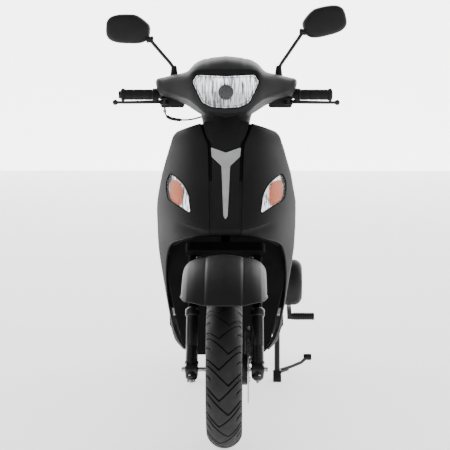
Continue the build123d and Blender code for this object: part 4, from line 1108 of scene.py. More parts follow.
def mirror(name, side, tilt, centre_z):
    """Stem with boot and nut, domed shell, and a slightly convex glass."""
    half_span = 33.5 * cos(radians(tilt)) + 12 * sin(radians(tilt)) + 30
    centre = Vector((side * (342 - half_span), 0, centre_z))
    across = Vector((cos(radians(tilt)), 0, side * sin(radians(tilt))))
    upward = Vector((-across.z, 0, across.x))

    def outline_point(turn, scale, depth):
        c, s = cos(turn), sin(turn)
        power = 2 / 3.1
        x = 63 * squared(c, power)
        z = 41.5 * squared(s, power)
        outward = x * side / 63
        if z > 0:
            z *= 1 - 0.5 * soft_step((-outward - 0.2) / 1.0) - 0.05 * max(0.0, outward)
        flat = centre + across * x * scale + upward * z * scale
        return at(flat.x, depth, flat.z)
    rows = []
    depths = [(366.5, 0.955), (367.6, 0.97), (368, 0.985), (367.4, 1.0), (365, 1.0), (358, 0.997),
              (351, 0.985), (346, 0.965), (342, 0.93), (339, 0.88), (337, 0.81), (335.8, 0.7), (335, 0.55),
              (334.4, 0.38), (334.1, 0.2), (334, 0.03)]
    for depth, scale in depths:
        rows.append([outline_point(2 * pi * k / 96, scale, depth) for k in range(96)])
    rows.insert(0, [outline_point(2 * pi * k / 96, 0.95, 360) for k in range(96)])
    rows.insert(0, [outline_point(2 * pi * k / 96, 0.02, 360) for k in range(96)])
    shell = surface(name + "_shell", rows, closed_rows=True, cap_ends=True)
    ball = at(side * 216, 352, centre_z - 30)
    boss = lathe("boss", [(-10, 0.5), (-10, 7), (-8.5, 9.2), (-3, 9.6), (-2.4, 8.8), (2.4, 8.8), (3, 9.6),
                          (8.5, 9.2), (10, 7), (10, 0.5)], ball, (1, 0, 0), 32, False)
    shell = join(name + "_mirror_back", [shell, boss])
    finish_piece(shell, trim_black, name + "_mirror", [name + "_mirror_shell"], 30)
    glass_rows = []
    for scale in (0.02, 0.25, 0.5, 0.7, 0.85, 0.93):
        glass_rows.append([outline_point(2 * pi * k / 96, scale, 366.2 - 2.2 * scale**2)
                           for k in range(96)])
    glass = surface(name + "_mirror_face", glass_rows, closed_rows=True)
    thicken(glass, 1.6)
    finish_piece(glass, mirror_mat, name + "_mirror", [name + "_mirror_glass"], 40)
    foot, knee = at(side * 148, 352, 938), at(side * 148, 352, 1003)
    toward = (ball - knee).normalized()
    path = smooth_path([foot, foot + Vector((0, 0, 0.04)), knee - Vector((0, 0, 0.008)),
                        knee + toward * 0.012, knee + toward * 0.05, ball], 8)
    stem = sweep(name + "_stem", path, circle_section(5, 20))
    boot_profile = [(34, 5), (34, 11), (37, 12), (40, 11.6)]
    for k in range(4):
        boot_profile += [(42 + 6 * k, 10.4 - 0.7 * k), (45 + 6 * k, 11.3 - 0.8 * k),
                         (46.5 + 6 * k, 10.6 - 0.8 * k)]
    boot_profile += [(68, 7), (70, 6.6), (71, 5)]
    boot = dressed(lathe("boot", boot_profile, foot, (0, 0, 1), 32, False), rubber_mat)
    nut = dressed(hex_bolt("nut", foot + Vector((0, 0, 0.026)), (0, 0, 1), 11, 8), steel_mat)
    knuckle = dressed(lathe("knuckle", [(-6, 0.5), (-6, 5.2), (-5.2, 6), (5.2, 6), (6, 5.2), (6, 0.5)],
                            ball, (1, 0, 0), 28, False), paint_mat)
    stem.data.materials.append(paint_mat)
    finish_piece(join(name + "_mirror_arm", [stem, boot, nut, knuckle]), None, name + "_mirror_arm",
                 [name + "_mirror_stem"], 35)


mirror("left", 1, 14.0, 1133.0)
mirror("right", -1, 2.0, 1112.0)

# ------------------------------------------------------------------ grips, levers and switch boxes


def grip(name, side, body, node):
    """A ribbed rubber grip with flanges at both ends and a closed end."""
    stations = [(204, 11.2, 0), (204, 17.5, 0), (205.5, 18.5, 0), (208, 18.5, 0), (209.5, 17.2, 0),
                (211, 14.8, 0), (213, 14.7, 0), (214, 15.2, 1), (232, 15.2, 1), (233, 14.3, 0),
                (235, 14.3, 0), (236, 15.2, 1), (262, 15.2, 1), (263, 14.3, 0), (265, 14.3, 0),
                (266, 15.2, 1), (285, 15.0, 1), (286, 14.6, 0), (289, 15.4, 0), (292, 17.8, 0),
                (294, 18.3, 0), (297, 18.2, 0), (299, 17.0, 0), (300.5, 14.5, 0), (301, 11.5, 0),
                (301.4, 11, 0), (302, 9.8, 0), (302, 0.4, 0)]
    rows = []
    for x, radius, ribbed in stations:
        row = []
        for k in range(144):
            turn = 2 * pi * k / 144
            rib = 0.9 * ribbed * (0.5 + 0.5 * cos(24 * turn)) ** 0.5
            r = (radius - 0.9 * ribbed + rib) * mm
            row.append(at(side * x, 372, 926) + Vector((0, r * cos(turn), r * sin(turn))))
        rows.append(row)
    obj = surface(name, rows, closed_rows=True, cap_ends=False)
    return finish_piece(obj, rubber_mat, body, [node], 40)


grip("left_grip_rubber", 1, "steering", "left_grip")
grip("throttle_grip_rubber", -1, "throttle", "throttle_grip")


def lever(name, side, body, node):
    """A cast lever with a boss at its pivot and a ball end."""
    path = smooth_path([at(side * x, d, z) for x, d, z in
                        [(170, 337, 908), (176, 334, 908), (198, 317, 907.5), (220, 310.5, 907),
                         (250, 308, 906.5), (285, 310.5, 906), (310, 314, 906)]], 10)
    def section(index, share):
        wide = (6.6 - 3.0 * share) * mm
        tall = (5.6 - 1.6 * share) * mm
        return [(wide * cos(2 * pi * k / 20),
                 tall * sin(2 * pi * k / 20) * (1 - 0.25 * cos(2 * pi * k / 20) ** 2))
                for k in range(20)]
    blade = sweep("blade", path, section)
    end = lathe("ball", [(-8 * cos(pi * k / 12), max(8 * sin(pi * k / 12), 0.2)) for k in range(13)],
                at(side * 312, 314, 906), (1, 0, 0), 28, False)
    boss = lathe("boss", [(-6, 0.4), (-6, 8), (-5, 9), (5, 9), (6, 8), (6, 0.4)],
                 at(side * 176, 334, 908), (0, 0, 1), 32, False)
    pin = dressed(hex_bolt("pin", at(side * 176, 334, 913.6), (0, 0, 1), 8, 2), steel_mat)
    for part in (blade, end, boss):
        part.data.materials.append(paint_mat)
    return finish_piece(join(name, [blade, end, boss, pin]), None, body, [node], 35)


lever("left_lever_cast", 1, "left_lever", "left_brake_lever")
lever("right_lever_cast", -1, "right_lever", "right_brake_lever")


def rounded_box(name, low, high, radius=4.0, material=None):
    """A box from two corners (x, distance aft, z) in millimetres, with its edges rounded."""
    (x0, d0, z0), (x1, d1, z1) = low, high
    points = [at(x, d, z) for x in (x0, x1) for d in (d0, d1) for z in (z0, z1)]
    faces = [(0, 1, 3, 2), (4, 6, 7, 5), (0, 4, 5, 1), (2, 3, 7, 6), (0, 2, 6, 4), (1, 5, 7, 3)]
    obj = tidy(mesh_object(name, points, faces))
    modify(obj, ("BEVEL", {"width": radius * mm, "segments": 4}))
    if material:
        obj.data.materials.append(material)
    return obj


def side_box(name, side, near, far, radius, material):
    """A rounded box whose corners are given outward from the middle, on the left (1) or right (-1)."""
    low_x, high_x = min(side * near[0], side * far[0]), max(side * near[0], side * far[0])
    return rounded_box(name, (low_x, *near[1:]), (high_x, *far[1:]), radius, material)


housings = []
for side in (1, -1):
    lo, hi = sorted((side * 120, side * 186))
    housings.append(rounded_box("switch_front", (lo, 347, 890), (hi, 371.4, 919.5), 5, trim_black))
    housings.append(rounded_box("switch_rear", (lo, 372.6, 890), (hi, 397, 919.5), 5, trim_black))
    housings.append(rounded_box("switch_core", (lo + 2, 366, 892), (hi - 2, 378, 917.5), 2, liner_and_shade_mat))
    housings.append(lathe("collar", [(192.6, 11.2), (192.6, 17.5), (194, 19), (196, 19), (196.8, 18),
                                     (199, 18), (199.8, 19), (202, 19), (203.4, 17.5),
                                     (203.4, 11.2)], at(0, 372, 926),
                          (side, 0, 0), 40, True))
    housings[-1].data.materials.append(trim_black)
    housings.append(side_box("perch", side, (164, 325, 899), (188, 352, 903), 1.5, paint_mat))
    housings.append(side_box("perch_top", side, (164, 325, 914), (188, 352, 918), 1.5, paint_mat))
    for x in (132, 174):
        housings.append(dressed(screw("box_screw", at(side * x, 397, 896), (0, 1, 0), 3.2), steel_mat))
    housings.append(side_box("rocker", side, (166, 396, 900), (180, 400.5, 909), 1.5, rubber_mat))
    housings.append(dressed(lathe("button_ring", [(-2, 7.2), (-2, 9), (1.4, 9), (2, 8.2), (2, 7.2)],
                                  at(side * 150, 397, 905), (0, 1, 0), 32), trim_black))
finish_piece(join("switch_boxes", housings), None, "steering", ["control_housings"], 35)
for name, side in (("horn", 1), ("starter", -1)):
    cap = lathe(name + "_cap", [(-3, 0.3), (-3, 5.9), (2.6, 5.9), (3.4, 5.2), (3.6, 4.2), (3.2, 3.8),
                                (3.0, 0.3)],
                at(side * 150, 399.8, 905), (0, 1, 0), 32, False)
    finish_piece(cap, amber_mat if name == "starter" else rubber_mat, name,
                 [name + "_button"], 35)

cable_path = smooth_path([at(*p) for p in [(-176, 372, 891), (-176, 371, 878), (-168, 368, 864),
                                           (-150, 361, 857), (-122, 352, 855), (-98, 347, 857),
                                           (-75, 343, 863), (-60, 340, 867)]], 10)
cable = sweep("cable_line", cable_path, circle_section(2.4, 14))
sleeve_points = [p for p in cable_path if -0.171 < p.x < -0.127]
sleeve = sweep("cable_sleeve", sleeve_points, lambda i, share: circle_section(5.0 - 0.7 * (i % 2)
                                                                           if 1 < i < len(sleeve_points) - 2
                                                                             else 3.6, 16)(i, share))
ferrule = lathe("ferrule", [(-1, 2.4), (-1, 4.8), (6, 4.8), (7, 3.6), (12, 3.6), (13, 2.4)],
                at(-176, 372, 876), (0, 0, 1), 20)
cable.data.materials.append(rubber_mat)
sleeve.data.materials.append(rubber_mat)
ferrule.data.materials.append(steel_mat)
finish_piece(join("throttle_cable_run", [cable, sleeve, ferrule]), None, "steering",
             ["throttle_cable"], 40)

# ------------------------------------------------------------------ fork

fork_parts = []
for side in (1, -1):
    foot = at(side * 88, 0, 208)
    leg_profile = [(-30, 0.4), (-30, 9), (-27, 12), (-24, 15.5), (-10, 17.4), (6, 17.4), (9, 16.2),
                   (14, 16.2), (15.5, 18.6), (21, 18.6), (22.5, 16.4), (60, 16.2), (61, 15.8), (64, 15.8),
                   (65, 16.2), (146, 16.0), (148, 18.4), (151, 19.2), (160, 19.2), (164, 18.6), (167, 16.5),
                   (170, 13.4)]
    leg = dressed(lathe("leg", leg_profile, foot, steer_dir, 48, False), paint_mat)
    lug_profile = [(-17, 7), (-17, 17), (-15, 19), (13, 19), (15, 17), (15, 7)]
    lug = dressed(lathe("lug", lug_profile, foot, (side, 0, 0), 40), paint_mat)
    drain = dressed(hex_bolt("drain", foot - steer_dir * 0.030, -steer_dir, 9, 7), steel_mat)
    pinch = dressed(hex_bolt("pinch", foot + Vector((side * 0.004, -0.018, -0.012)), (0, -1, -0.2), 8,
                             5), steel_mat)
    fork_parts += [leg, lug, drain, pinch]
hose_path = smooth_path([at(78, 62, 300), at(84, 70, 318), at(94, 86, 345), at(96, 98, 368),
                         at(92, 104, 376)], 8)
fork_parts.append(dressed(sweep("brake_hose", hose_path, circle_section(3.4, 12)), rubber_mat))
finish_piece(join("fork_legs", fork_parts), None, "fork_lower", ["fork_lowers"], 35)

axle_ends = []
for side in (1, -1):
    axle_ends.append(hex_bolt("axle_nut", at(side * 104.6, 0, 208), (side, 0, 0), 13, 8))
    axle_ends.append(lathe("axle_tip", [(0, 0.4), (0, 6), (9, 6), (10.6, 4.8), (11, 0.4)],
                           at(side * 104.6, 0, 208), (side, 0, 0), 24, False))
axle_ends.append(lathe("axle_rod", [(-104, 0.4), (-104, 5.8), (104, 5.8), (104, 0.4)], at(0, 0, 208),
                       (1, 0, 0), 24, False))
finish_piece(join("front_axle_set", axle_ends), steel_mat, "fork_lower", ["front_axle"], 35)

caliper_outline = [(30, 230), (44, 216), (78, 218), (95, 238), (97, 268), (88, 296), (71, 301), (62, 284),
                   (53, 276), (46, 262)]


def side_place(x):
    """Place an outline of (distance aft, height) on a plane across X, lifted outward."""
    def place(d, z, lift):
        return at(x + lift, d, z)
    return place


caliper = plate("caliper", soft_outline(caliper_outline, 9, 5, 5), side_place(66), -12.5, 12.5, 3)
caliper_rib = plate("caliper_rib", soft_outline([(52, 232), (76, 232), (84, 256), (80, 284), (66, 284),
                                                 (56, 262)], 6, 5, 5),
                    side_place(79), -1.5, 1.5, 1)
caliper.data.materials.append(alloy_mat)
caliper_rib.data.materials.append(alloy_mat)
caliper_bits = [hex_bolt("caliper_bolt", at(79, d, z), (1, 0, 0), 7, 3) for d, z in ((46, 226), (86, 288))]
caliper_bits.append(lathe("nipple", [(0, 0.4), (0, 3.4), (5, 3.4), (6, 2.4), (11, 2.8), (12, 0.4)],
                          at(64, 74, 300), (0, 0.2, 1), 16, False))
for bit in caliper_bits:
    bit.data.materials.append(steel_mat)
finish_piece(join("caliper_cast", [caliper, caliper_rib] + caliper_bits), None, "fork_lower",
             ["brake_caliper"], 35)

# ------------------------------------------------------------------ seat

# Distance aft, half width, top height.
seat_rows = [(753, 96, 757), (764, 106, 772), (790, 115, 779), (850, 123, 776), (920, 129, 770),
             (1000, 139, 769), (1050, 145, 776), (1095, 149, 790), (1150, 151, 796), (1230, 151, 796),
             (1310, 139, 793), (1360, 119, 786), (1388, 98, 774), (1397, 84, 758)]


def seat_shape():
    """The cushion before it is stuffed: a flat bottom, upright sides and a soft crown."""
    rows = []
    d = 753.0
    while d <= 1397.01:
        half, top = blend_value(seat_rows, d)
        row = []
        for k in range(48):
            turn = pi * k / 47
            c, s = cos(turn), sin(turn)
            x = half * squared(c, 2 / 3.6)
            row.append(at(x, d, 704 + (top - 3 - 704) * abs(s) ** (2 / 3.4)))
        rows.append(row)
        d += 7
    return surface("seat_cover", rows, closed_rows=True, cap_ends=True)


def stuff(obj):
    """Blow the cover out against its sewn lower edge, with its travel held to a few millimetres."""
    before = [vert.co.copy() for vert in obj.data.vertices]
    pinned = obj.vertex_groups.new(name="sewn")
    pinned.add([vert.index for vert in obj.data.vertices if vert.co.z < 0.712], 1.0, "REPLACE")
    cloth = obj.modifiers.new("stuffing", "CLOTH")
    cloth.settings.use_pressure = True
    cloth.settings.uniform_pressure_force = 4
    cloth.settings.vertex_group_mass = "sewn"
    cloth.settings.tension_stiffness = 40
    cloth.settings.compression_stiffness = 40
    cloth.settings.bending_stiffness = 2
    cloth.settings.effector_weights.gravity = 0
    cloth.collision_settings.use_collision = False
    cloth.point_cache.frame_start = 1
    cloth.point_cache.frame_end = 20
    for step in range(1, 21):
        bpy.context.scene.frame_set(step)
    graph = bpy.context.evaluated_depsgraph_get()
    mesh = bpy.data.meshes.new_from_object(obj.evaluated_get(graph))
    obj.modifiers.clear()
    obj.data = mesh
    bpy.context.scene.frame_set(1)
    for vert, old in zip(obj.data.vertices, before):
        move = vert.co - old
        if move.length > 0.006:
            move = move * (0.006 / move.length)
        vert.co = old + move


seat = seat_shape()
modify(seat, ("REMESH", {"mode": "VOXEL", "voxel_size": 0.0055}))
modify(seat, ("SMOOTH", {"factor": 0.5, "iterations": 4}))
stuff(seat)


def seam_depth(d, x):
    """How deep the sewn lines pull the cover in, in millimetres."""
    depth = 0.0
    for line in (905, 960, 1015):
        depth += 2.6 * exp(-((d - line - 0.0009 * x * x) / 3.2) ** 2) * (1 - soft_step((abs(x) - 96) / 12))
    depth += 3.6 * exp(-((d - 1072 + 0.0007 * x * x) / 3.6) ** 2)
    for line in (1130, 1185, 1240, 1295):
        depth += 2.2 * exp(-((d - line + 0.0006 * x * x) / 3.2) ** 2) * (1 - soft_step((abs(x) - 100) / 14))
    return depth


modify(seat, ("SUBSURF", {"levels": 1, "render_levels": 1, "subdivision_type": "SIMPLE"}))
for vert in seat.data.vertices:
    d, x = (vert.co.y - front_axle.y) / mm, vert.co.x / mm
    top = blend_value(seat_rows, d)[1]
    high = soft_step((vert.co.z / mm - (top - 34)) / 20)
    vert.co.z -= seam_depth(d, x) * high * mm
    crease = 1.1 * noise.noise(Vector((vert.co.x * 18, vert.co.y * 14, vert.co.z * 30))) * (1 - 0.6 * high)
    vert.co.x += crease * mm * (1 if vert.co.x > 0 else -1)
    vert.co.z = min(vert.co.z, 0.8025)
    vert.co.z = max(vert.co.z, 0.7035)
finish_piece(seat, vinyl_mat, "seat", ["seat_cushion"], 80)


def seat_edge(drop):
    """A line round the cushion's side, a drop below its top edge."""
    stations = [753 + 644 * k / 40 for k in range(41)]
    right = []
    for d in stations:
        half, top = blend_value(seat_rows, d)
        height = top - drop
        share = min(max((height - 704) / (top - 3 - 704), 0.0), 0.999)
        x = half * (1 - share ** 3.4) ** (1 / 3.6)
        start = at(half + 60, d, height)
        hit, place, normal, index = seat.ray_cast(start, Vector((-1, 0, 0)))
        right.append(place.copy() if hit else at(x, d, height))
    left = [Vector((-p.x, p.y, p.z)) for p in reversed(right)]
    return right, left


bpy.context.view_layer.update()
piping = []
for drop, size in ((27, 2.6), (70, 1.6)):
    right, left = seat_edge(drop)
    loop = smooth_path(right + left + [right[0]], 4)[:-1]
    bead = sweep("piping", loop, circle_section(size, 10), closed=True)
    piping.append(bead)
finish_piece(join("seat_piping", piping), rubber_mat, "seat", (), 60)
stitches = []
for line, bow, reach in ((1076, -0.0007, 118), (1068, -0.0007, 118)):
    x = -reach
    while x < reach:
        ends = []
        for px in (x, x + 5):
            hit, place, normal, index = seat.ray_cast(at(px, line + bow * px * px, 850), Vector((0, 0, -1)))
            ends.append((place + normal * 0.0004) if hit else None)
        if all(ends):
            stitches.append(sweep("stitch", [ends[0], (ends[0] + ends[1]) / 2 + Vector((0, 0, 0.0005)),
                                             ends[1]],
                                  circle_section(0.55, 6)))
        x += 7.5
finish_piece(join("seat_stitching", stitches), plate_mat, "seat", (), 60)
strap_path = []
for k in range(25):
    x = -160 + 320 * k / 24
    hit, place, normal, index = seat.ray_cast(at(x, 1085, 850), Vector((0, 0, -1)))
    if hit and abs(x) < 146:
        strap_path.append(place + Vector((0, 0, 0.0012)))
ends = [Vector((strap_path[0].x - 0.004, aft(1085), 0.715))], [Vector((strap_path[-1].x + 0.004, aft(1085),
                                                                       0.715))]
strap = sweep("grab_strap", ends[0] + strap_path + ends[1],
              lambda i, share: [(0.011 * cos(2 * pi * k / 16), 0.0014 * sin(2 * pi * k / 16))
                                for k in range(16)])
finish_piece(strap, rubber_mat, "seat", (), 50)
skirt = plate("seat_pan", [(x, d) for x, d in rounded([(98, 754), (119, 800), (129, 900), (150, 1080),
                                                       (151, 1220), (128, 1350), (80, 1396), (-80, 1396),
                                                       (-128, 1350), (-151, 1220), (-150, 1080),
                                                       (-129, 900), (-119, 800), (-98, 754)], 16, 5, 12)],
              lambda x, d, lift: at(x, d, 699 + lift), -2.4, 4.0, 1.2)
ribs = [rounded_box("pan_rib", (-110, d, 692), (110, d + 4, 698), 1, trim_black)
        for d in (1100, 1180, 1260, 1330)]
for x in (-33, 33):
    ribs.append(rounded_box("hinge_leaf", (x - 4, 768, 682), (x + 4, 812, 698), 1.5, steel_mat))
ribs.append(dressed(lathe("hinge_pin", [(-26, 0.4), (-26, 5.5), (26, 5.5), (26, 0.4)], at(0, 775, 688),
                          (1, 0, 0), 24, False), steel_mat))
latch = dressed(lathe("latch_ring", [(0, 2), (0, 6), (3, 6), (3, 2)], at(0, 1300, 694), (0, 0, 1), 20),
                steel_mat)
skirt.data.materials.append(trim_black)

# ------------------------------------------------------------------ side panels and tail

tail_plan = [(850, 148), (920, 154), (1040, 164), (1250, 162), (1390, 140), (1500, 88)]
tail_side = [(851, 396), (851, 690), (1498, 690), (1496, 640), (1476, 560), (1300, 471), (1100, 426),
             (960, 396)]


def flank(side):
    """Places an outline of (distance aft, height) on the left (1) or right (-1) side panel."""
    def place(d, z, lift):
        half = blend_value(tail_plan, d)[0]
        pinch = 0.4 * soft_step((470 - z) / 70)
        swell = 1.4 * exp(-((z - 640 + 0.04 * (d - 1100)) / 22) ** 2) - 1.4
        return at(side * (half - pinch + swell + lift), d, z)
    return place


def flank_line(side, line, half_width, height, material):
    """A rounded rib along a line on the side panel."""
    place = flank(side)
    flat = smooth_path([(d, z, 0) for d, z in line], 8)
    path = [place(p.x, p.y, 0.0) for p in flat]
    rib = sweep("flank_line", path, oval_section(half_width, height, 10))
    rib.data.materials.append(material)
    return rib


tail_parts = []
for side in (1, -1):
    place = flank(side)
    tail_parts.append(dressed(plate("flank_skin", soft_outline(tail_side, 12, 6, 8), place, -1.6, -0.2,
                                    0.4, spacing=8), panel_mat))
    upper_outline = soft_outline([(862, 606), (862, 682), (1484, 682), (1482, 664), (1300, 640),
                                  (1080, 612)], 10, 6, 8)
    upper = plate("flank_upper", upper_outline, place, -0.6, 1.2, 0.8, spacing=8)
    upper.data.materials.append(panel_mat)
    tail_parts.append(upper)
    tail_parts.append(flank_line(side, [(870, 556), (1000, 560), (1180, 584), (1340, 622), (1470, 648)],
                                 2.0, 1.3, panel_mat))
    tail_parts.append(flank_line(side, [(872, 470), (980, 470), (1120, 486), (1290, 524), (1440, 580)],
                                 2.0, 1.3, panel_mat))
    for d, z in ((868, 420), (868, 596), (1180, 460), (1452, 652)):
        tail_parts.append(dressed(screw("panel_screw", place(d, z, -0.4), (side, 0, 0), 5), steel_mat))
    for k in range(5):
        near = 905 + 20 * k
        slit = soft_outline([(near, 500), (near + 8, 500), (near + 22, 542), (near + 14, 542)], 3, 3, 6)
        vent = plate("vent", slit, place, -0.8, 1.0, 0.5)
        vent.data.materials.append(liner_and_shade_mat)
        tail_parts.append(vent)
finish_piece(join("tail_panels", tail_parts), None, "chassis", ["side_panels"], 35)
finish_piece(join("seat_pan_shell", [skirt, latch] + ribs), None, "seat", ["seat_base"],
             35)

# ------------------------------------------------------------------ tail light, carrier and rear mudguard


def tail_place(x, z, lift):
    """A point on the curved tail, in front of which the lamp sits."""
    return at(x, 1512 - 14 * (abs(x) / 75) ** 2 - 3 + lift, z)


def rear_lens(outline, material, name, flute):
    """A fluted lens on the tail, from its outline in X and height."""
    def place(x, z, lift):
        return tail_place(x, z, 0.35 * cos((x if flute else z) * 2 * pi / 5))
    skin = filled_grid(name, soft_outline(outline, 7, 5, 5), place, 1.6)
    thicken(skin, 2.2)
    skin.data.materials.append(material)
    return skin


tail_lens = rear_lens([(-67, 600), (67, 600), (60, 664), (-60, 664)], red_mat, "tail_lens", False)
tail_rim = face_bead("tail_rim", soft_outline([(-68, 599), (68, 599), (61, 666), (-61, 666)], 7, 5, 5),
                     lambda x, z, lift: tail_place(x, z, lift - 2), 2.4, 2.4, liner_and_shade_mat)
tail_back = rounded_box("tail_back", (-66, 1479, 599), (66, 1494, 665), 4, trim_black)
finish_piece(join("tail_lamp", [tail_lens, tail_rim, tail_back]), None, "chassis",
             ["tail_light"], 50)
rear_signals = []
for side in (1, -1):
    rear_signals.append(side_box("signal_pod", side, (86, 1472, 521), (145, 1502, 555), 8, trim_black))
    rear_signals.append(side_box("signal_lens_rear", side, (90, 1496, 524), (143, 1511, 552), 6, amber_mat))
    stalk = side_box("stalk", side, (70, 1480, 530), (90, 1496, 546), 5, rubber_mat)
    rear_signals.append(stalk)
finish_piece(join("rear_signals", rear_signals), None, "chassis", (), 40)
tail_end = plate("tail_end", soft_outline([(-82, 562), (82, 562), (86, 688), (-86, 688)], 10, 5, 8),
                 lambda x, z, lift: at(x, 1486 + lift - 10 * (abs(x) / 86) ** 2, z), -6, -2, 1)
lower_tail = plate("tail_lower", soft_outline([(-80, 500), (80, 500), (82, 562), (-82, 562)], 8, 5, 8),
                   lambda x, z, lift: at(x, 1478 + lift + (z - 562) * 0.5, z), -6, -2, 1)
for part in (tail_end, lower_tail):
    part.data.materials.append(trim_black)
finish_piece(join("tail_closure", [tail_end, lower_tail]), None, "chassis", (), 35)

rail_path = [at(x, d, 774) for x, d in [(60, 1414), (78, 1424), (84, 1450), (84, 1500), (78, 1526),
                                        (60, 1536), (0, 1536), (-60, 1536), (-78, 1526), (-84, 1500),
                                        (-84, 1450), (-78, 1424), (-60, 1414), (0, 1414)]]
rack_ring = sweep("rack_ring", smooth_path(rail_path + [rail_path[0]], 6)[:-1], circle_section(3.6, 12),
                  closed=True)
rack_ribs = [rounded_box("rack_rib", (x - 3, 1418, 777), (x + 3, 1534, 777.9), 0.4, rubber_mat)
             for x in (-52, 52)]
rack_ring.data.materials.append(paint_mat)
finish_piece(join("rack_edge", [rack_ring] + rack_ribs), None, "chassis", (), 35)

guard_parts = [rounded_box("guard_rib", (x - 2, 1545, 404), (x + 2, 1549, 496), 0.6, trim_black)
               for x in (-40, 0, 40)]
plate_frame = face_bead("plate_frame", soft_outline([(-83, 402), (83, 402), (83, 498), (-83, 498)], 8, 5,
                                                    6),
                        lambda x, z, lift: at(x, 1549 - lift, z), 2.2, 1.0, trim_black)
guard_parts.append(plate_frame)
guard_parts.append(dressed(lathe("rear_reflector", [(0, 0.4), (0, 17), (-2, 18.5), (-6, 18.5),
                                            (-6, 0.4)], at(0, 1551.9, 512), (0, 1, 0), 40, False), red_mat))
finish_piece(join("plate_holder_detail", guard_parts), None, "chassis", (), 35)

# ------------------------------------------------------------------ floor, pillar and inner shield

mat_ribs = []
for k in range(13):
    x = -126 + 21 * k
    mat_ribs.append(rounded_box("mat_rib", (x - 4, 400, 284), (x + 4, 772, 287.6), 1.4, rubber_mat))
for d in (394, 778):
    mat_ribs.append(rounded_box("mat_edge", (-140, d - 3, 284), (140, d + 3, 287.6), 1.4, rubber_mat))
for side in (1, -1):
    mat_ribs.append(rounded_box("mat_side", (side * 140 - 3, 391, 284), (side * 140 + 3, 781, 287.6),
                                1.4, rubber_mat))
    for z in (222, 240, 258):
        skirt_x = 165 if z > 262 else 140 + (z - 205) * 25 / 57
        mat_ribs.append(dressed(sweep("skirt_line", [at(side * (skirt_x + 0.2), d, z)
                                       for d in (390, 500, 640, 780)], circle_section(1.8, 8)), trim_black))
for x, d in ((-150, 400), (150, 400), (-150, 770), (150, 770)):
    mat_ribs.append(dressed(screw("floor_screw", at(x, d, 285), (0, 0, 1), 6), steel_mat))
finish_piece(join("floor_mat", mat_ribs), None, "chassis", (), 35)


def inner_place(x, z, lift):
    """A point on the rider's side of the inner shield."""
    return at(x, blend_value(shield_rows, z)[2] + 34 + lift, z)


inner_parts = []
door = plate("glovebox_door", soft_outline([(-120, 540), (120, 540), (112, 665), (-112, 665)], 14, 6, 8),
             inner_place, 0, 6, 2.2, spacing=7)
door.data.materials.append(trim_black)
pocket = plate("knee_pad", soft_outline([(-140, 360), (140, 360), (150, 505), (-150, 505)], 18, 6, 8),
               inner_place, 0, 4, 1.8, spacing=7)
pocket.data.materials.append(trim_black)
inner_parts += [door, pocket]
for z in (385, 410, 435, 460, 485):
    inner_parts.append(dressed(sweep("inner_rib", [inner_place(x, z, 4) for x in range(-120, 121, 24)],
                                     circle_section(2.4, 10)), trim_black))
bezel = dressed(lathe("lock_bezel", [(-2, 8), (-2, 17), (3, 17), (6, 14), (6, 10), (3, 8)],
                      at(-70, 408, 730), (0, 1, 0), 36), steel_mat)
hook_path = smooth_path([at(0, 406, 752), at(0, 424, 750), at(0, 436, 738), at(0, 436, 724),
                         at(0, 428, 714)], 6)
hook = dressed(sweep("bag_hook", hook_path, circle_section(lambda share: 4.4 - 1.2 * share, 14)), paint_mat)
hook_base = rounded_box("hook_base", (-12, 402, 738), (12, 412, 768), 3, trim_black)
knob = dressed(lathe("door_knob", [(0, 9), (0, 11), (5, 11), (7, 9), (7.4, 0.5)], inner_place(0, 648, 5),
                     (0, 1, 0), 28, False), steel_mat)
inner_parts += [bezel, hook, hook_base, knob]
for x, z in ((-160, 700), (160, 700), (-170, 520), (170, 520), (-150, 340), (150, 340)):
    inner_parts.append(dressed(screw("inner_screw", inner_place(x * 0.94, z, 0), (0, 1, 0), 5), steel_mat))
finish_piece(join("inner_shield_detail", inner_parts), None, "chassis", (), 35)

pillar_parts = []
hatch = plate("battery_hatch", soft_outline([(-82, 400), (82, 400), (82, 560), (-82, 560)], 12, 6, 8),
              lambda x, z, lift: at(x, 796 - lift, z), 0, 4, 1.6)
hatch.data.materials.append(trim_black)
pillar_parts.append(hatch)
for z in (600, 612, 624, 636):
    pillar_parts.append(rounded_box("pillar_vent", (-70, 792.8, z - 2.5), (70, 797, z + 2.5), 1.5,
                                    trim_black))
for x, z in ((-72, 410), (72, 410), (-72, 550), (72, 550)):
    pillar_parts.append(dressed(screw("hatch_screw", at(x, 792, z), (0, -1, 0), 4.5), steel_mat))
finish_piece(join("pillar_detail", pillar_parts), None, "chassis", (), 35)

# ------------------------------------------------------------------ engine, exhaust and stand

crank = (985, 295)
rear_hub = (1240, 238)
engine_parts = []
case_bolts = []
for k in range(7):
    turn = radians(60 + 42 * k)
    case_bolts.append((crank[0] - 74 * cos(turn), crank[1] + 74 * sin(turn)))
for k in range(5):
    turn = radians(-80 + 40 * k)
    case_bolts.append((rear_hub[0] + 55 * cos(turn), rear_hub[1] + 55 * sin(turn)))
run_d, run_z = rear_hub[0] - crank[0], rear_hub[1] - crank[1]
for share in (0.36, 0.66):
    for side in (1, -1):
        reach = 78 - 18 * share
        case_bolts.append((crank[0] + run_d * share + side * 0.22 * reach,
                           crank[1] + run_z * share + side * 0.95 * reach - side * 4))
for d, z in case_bolts:
    engine_parts.append(dressed(hex_bolt("case_bolt", at(149.4, d, z), (1, 0, 0), 8, 5), steel_mat))
fan = lathe("fan_cover", [(238.6, 0.4), (238.6, 12), (240, 14), (240, 38), (238.4, 42), (238.4, 47),
                          (240, 50), (240, 55), (236, 60), (236, 0.4)],
            at(0, *crank), (1, 0, 0), 64, False)
fan.data.materials.append(trim_black)
engine_parts.append(fan)
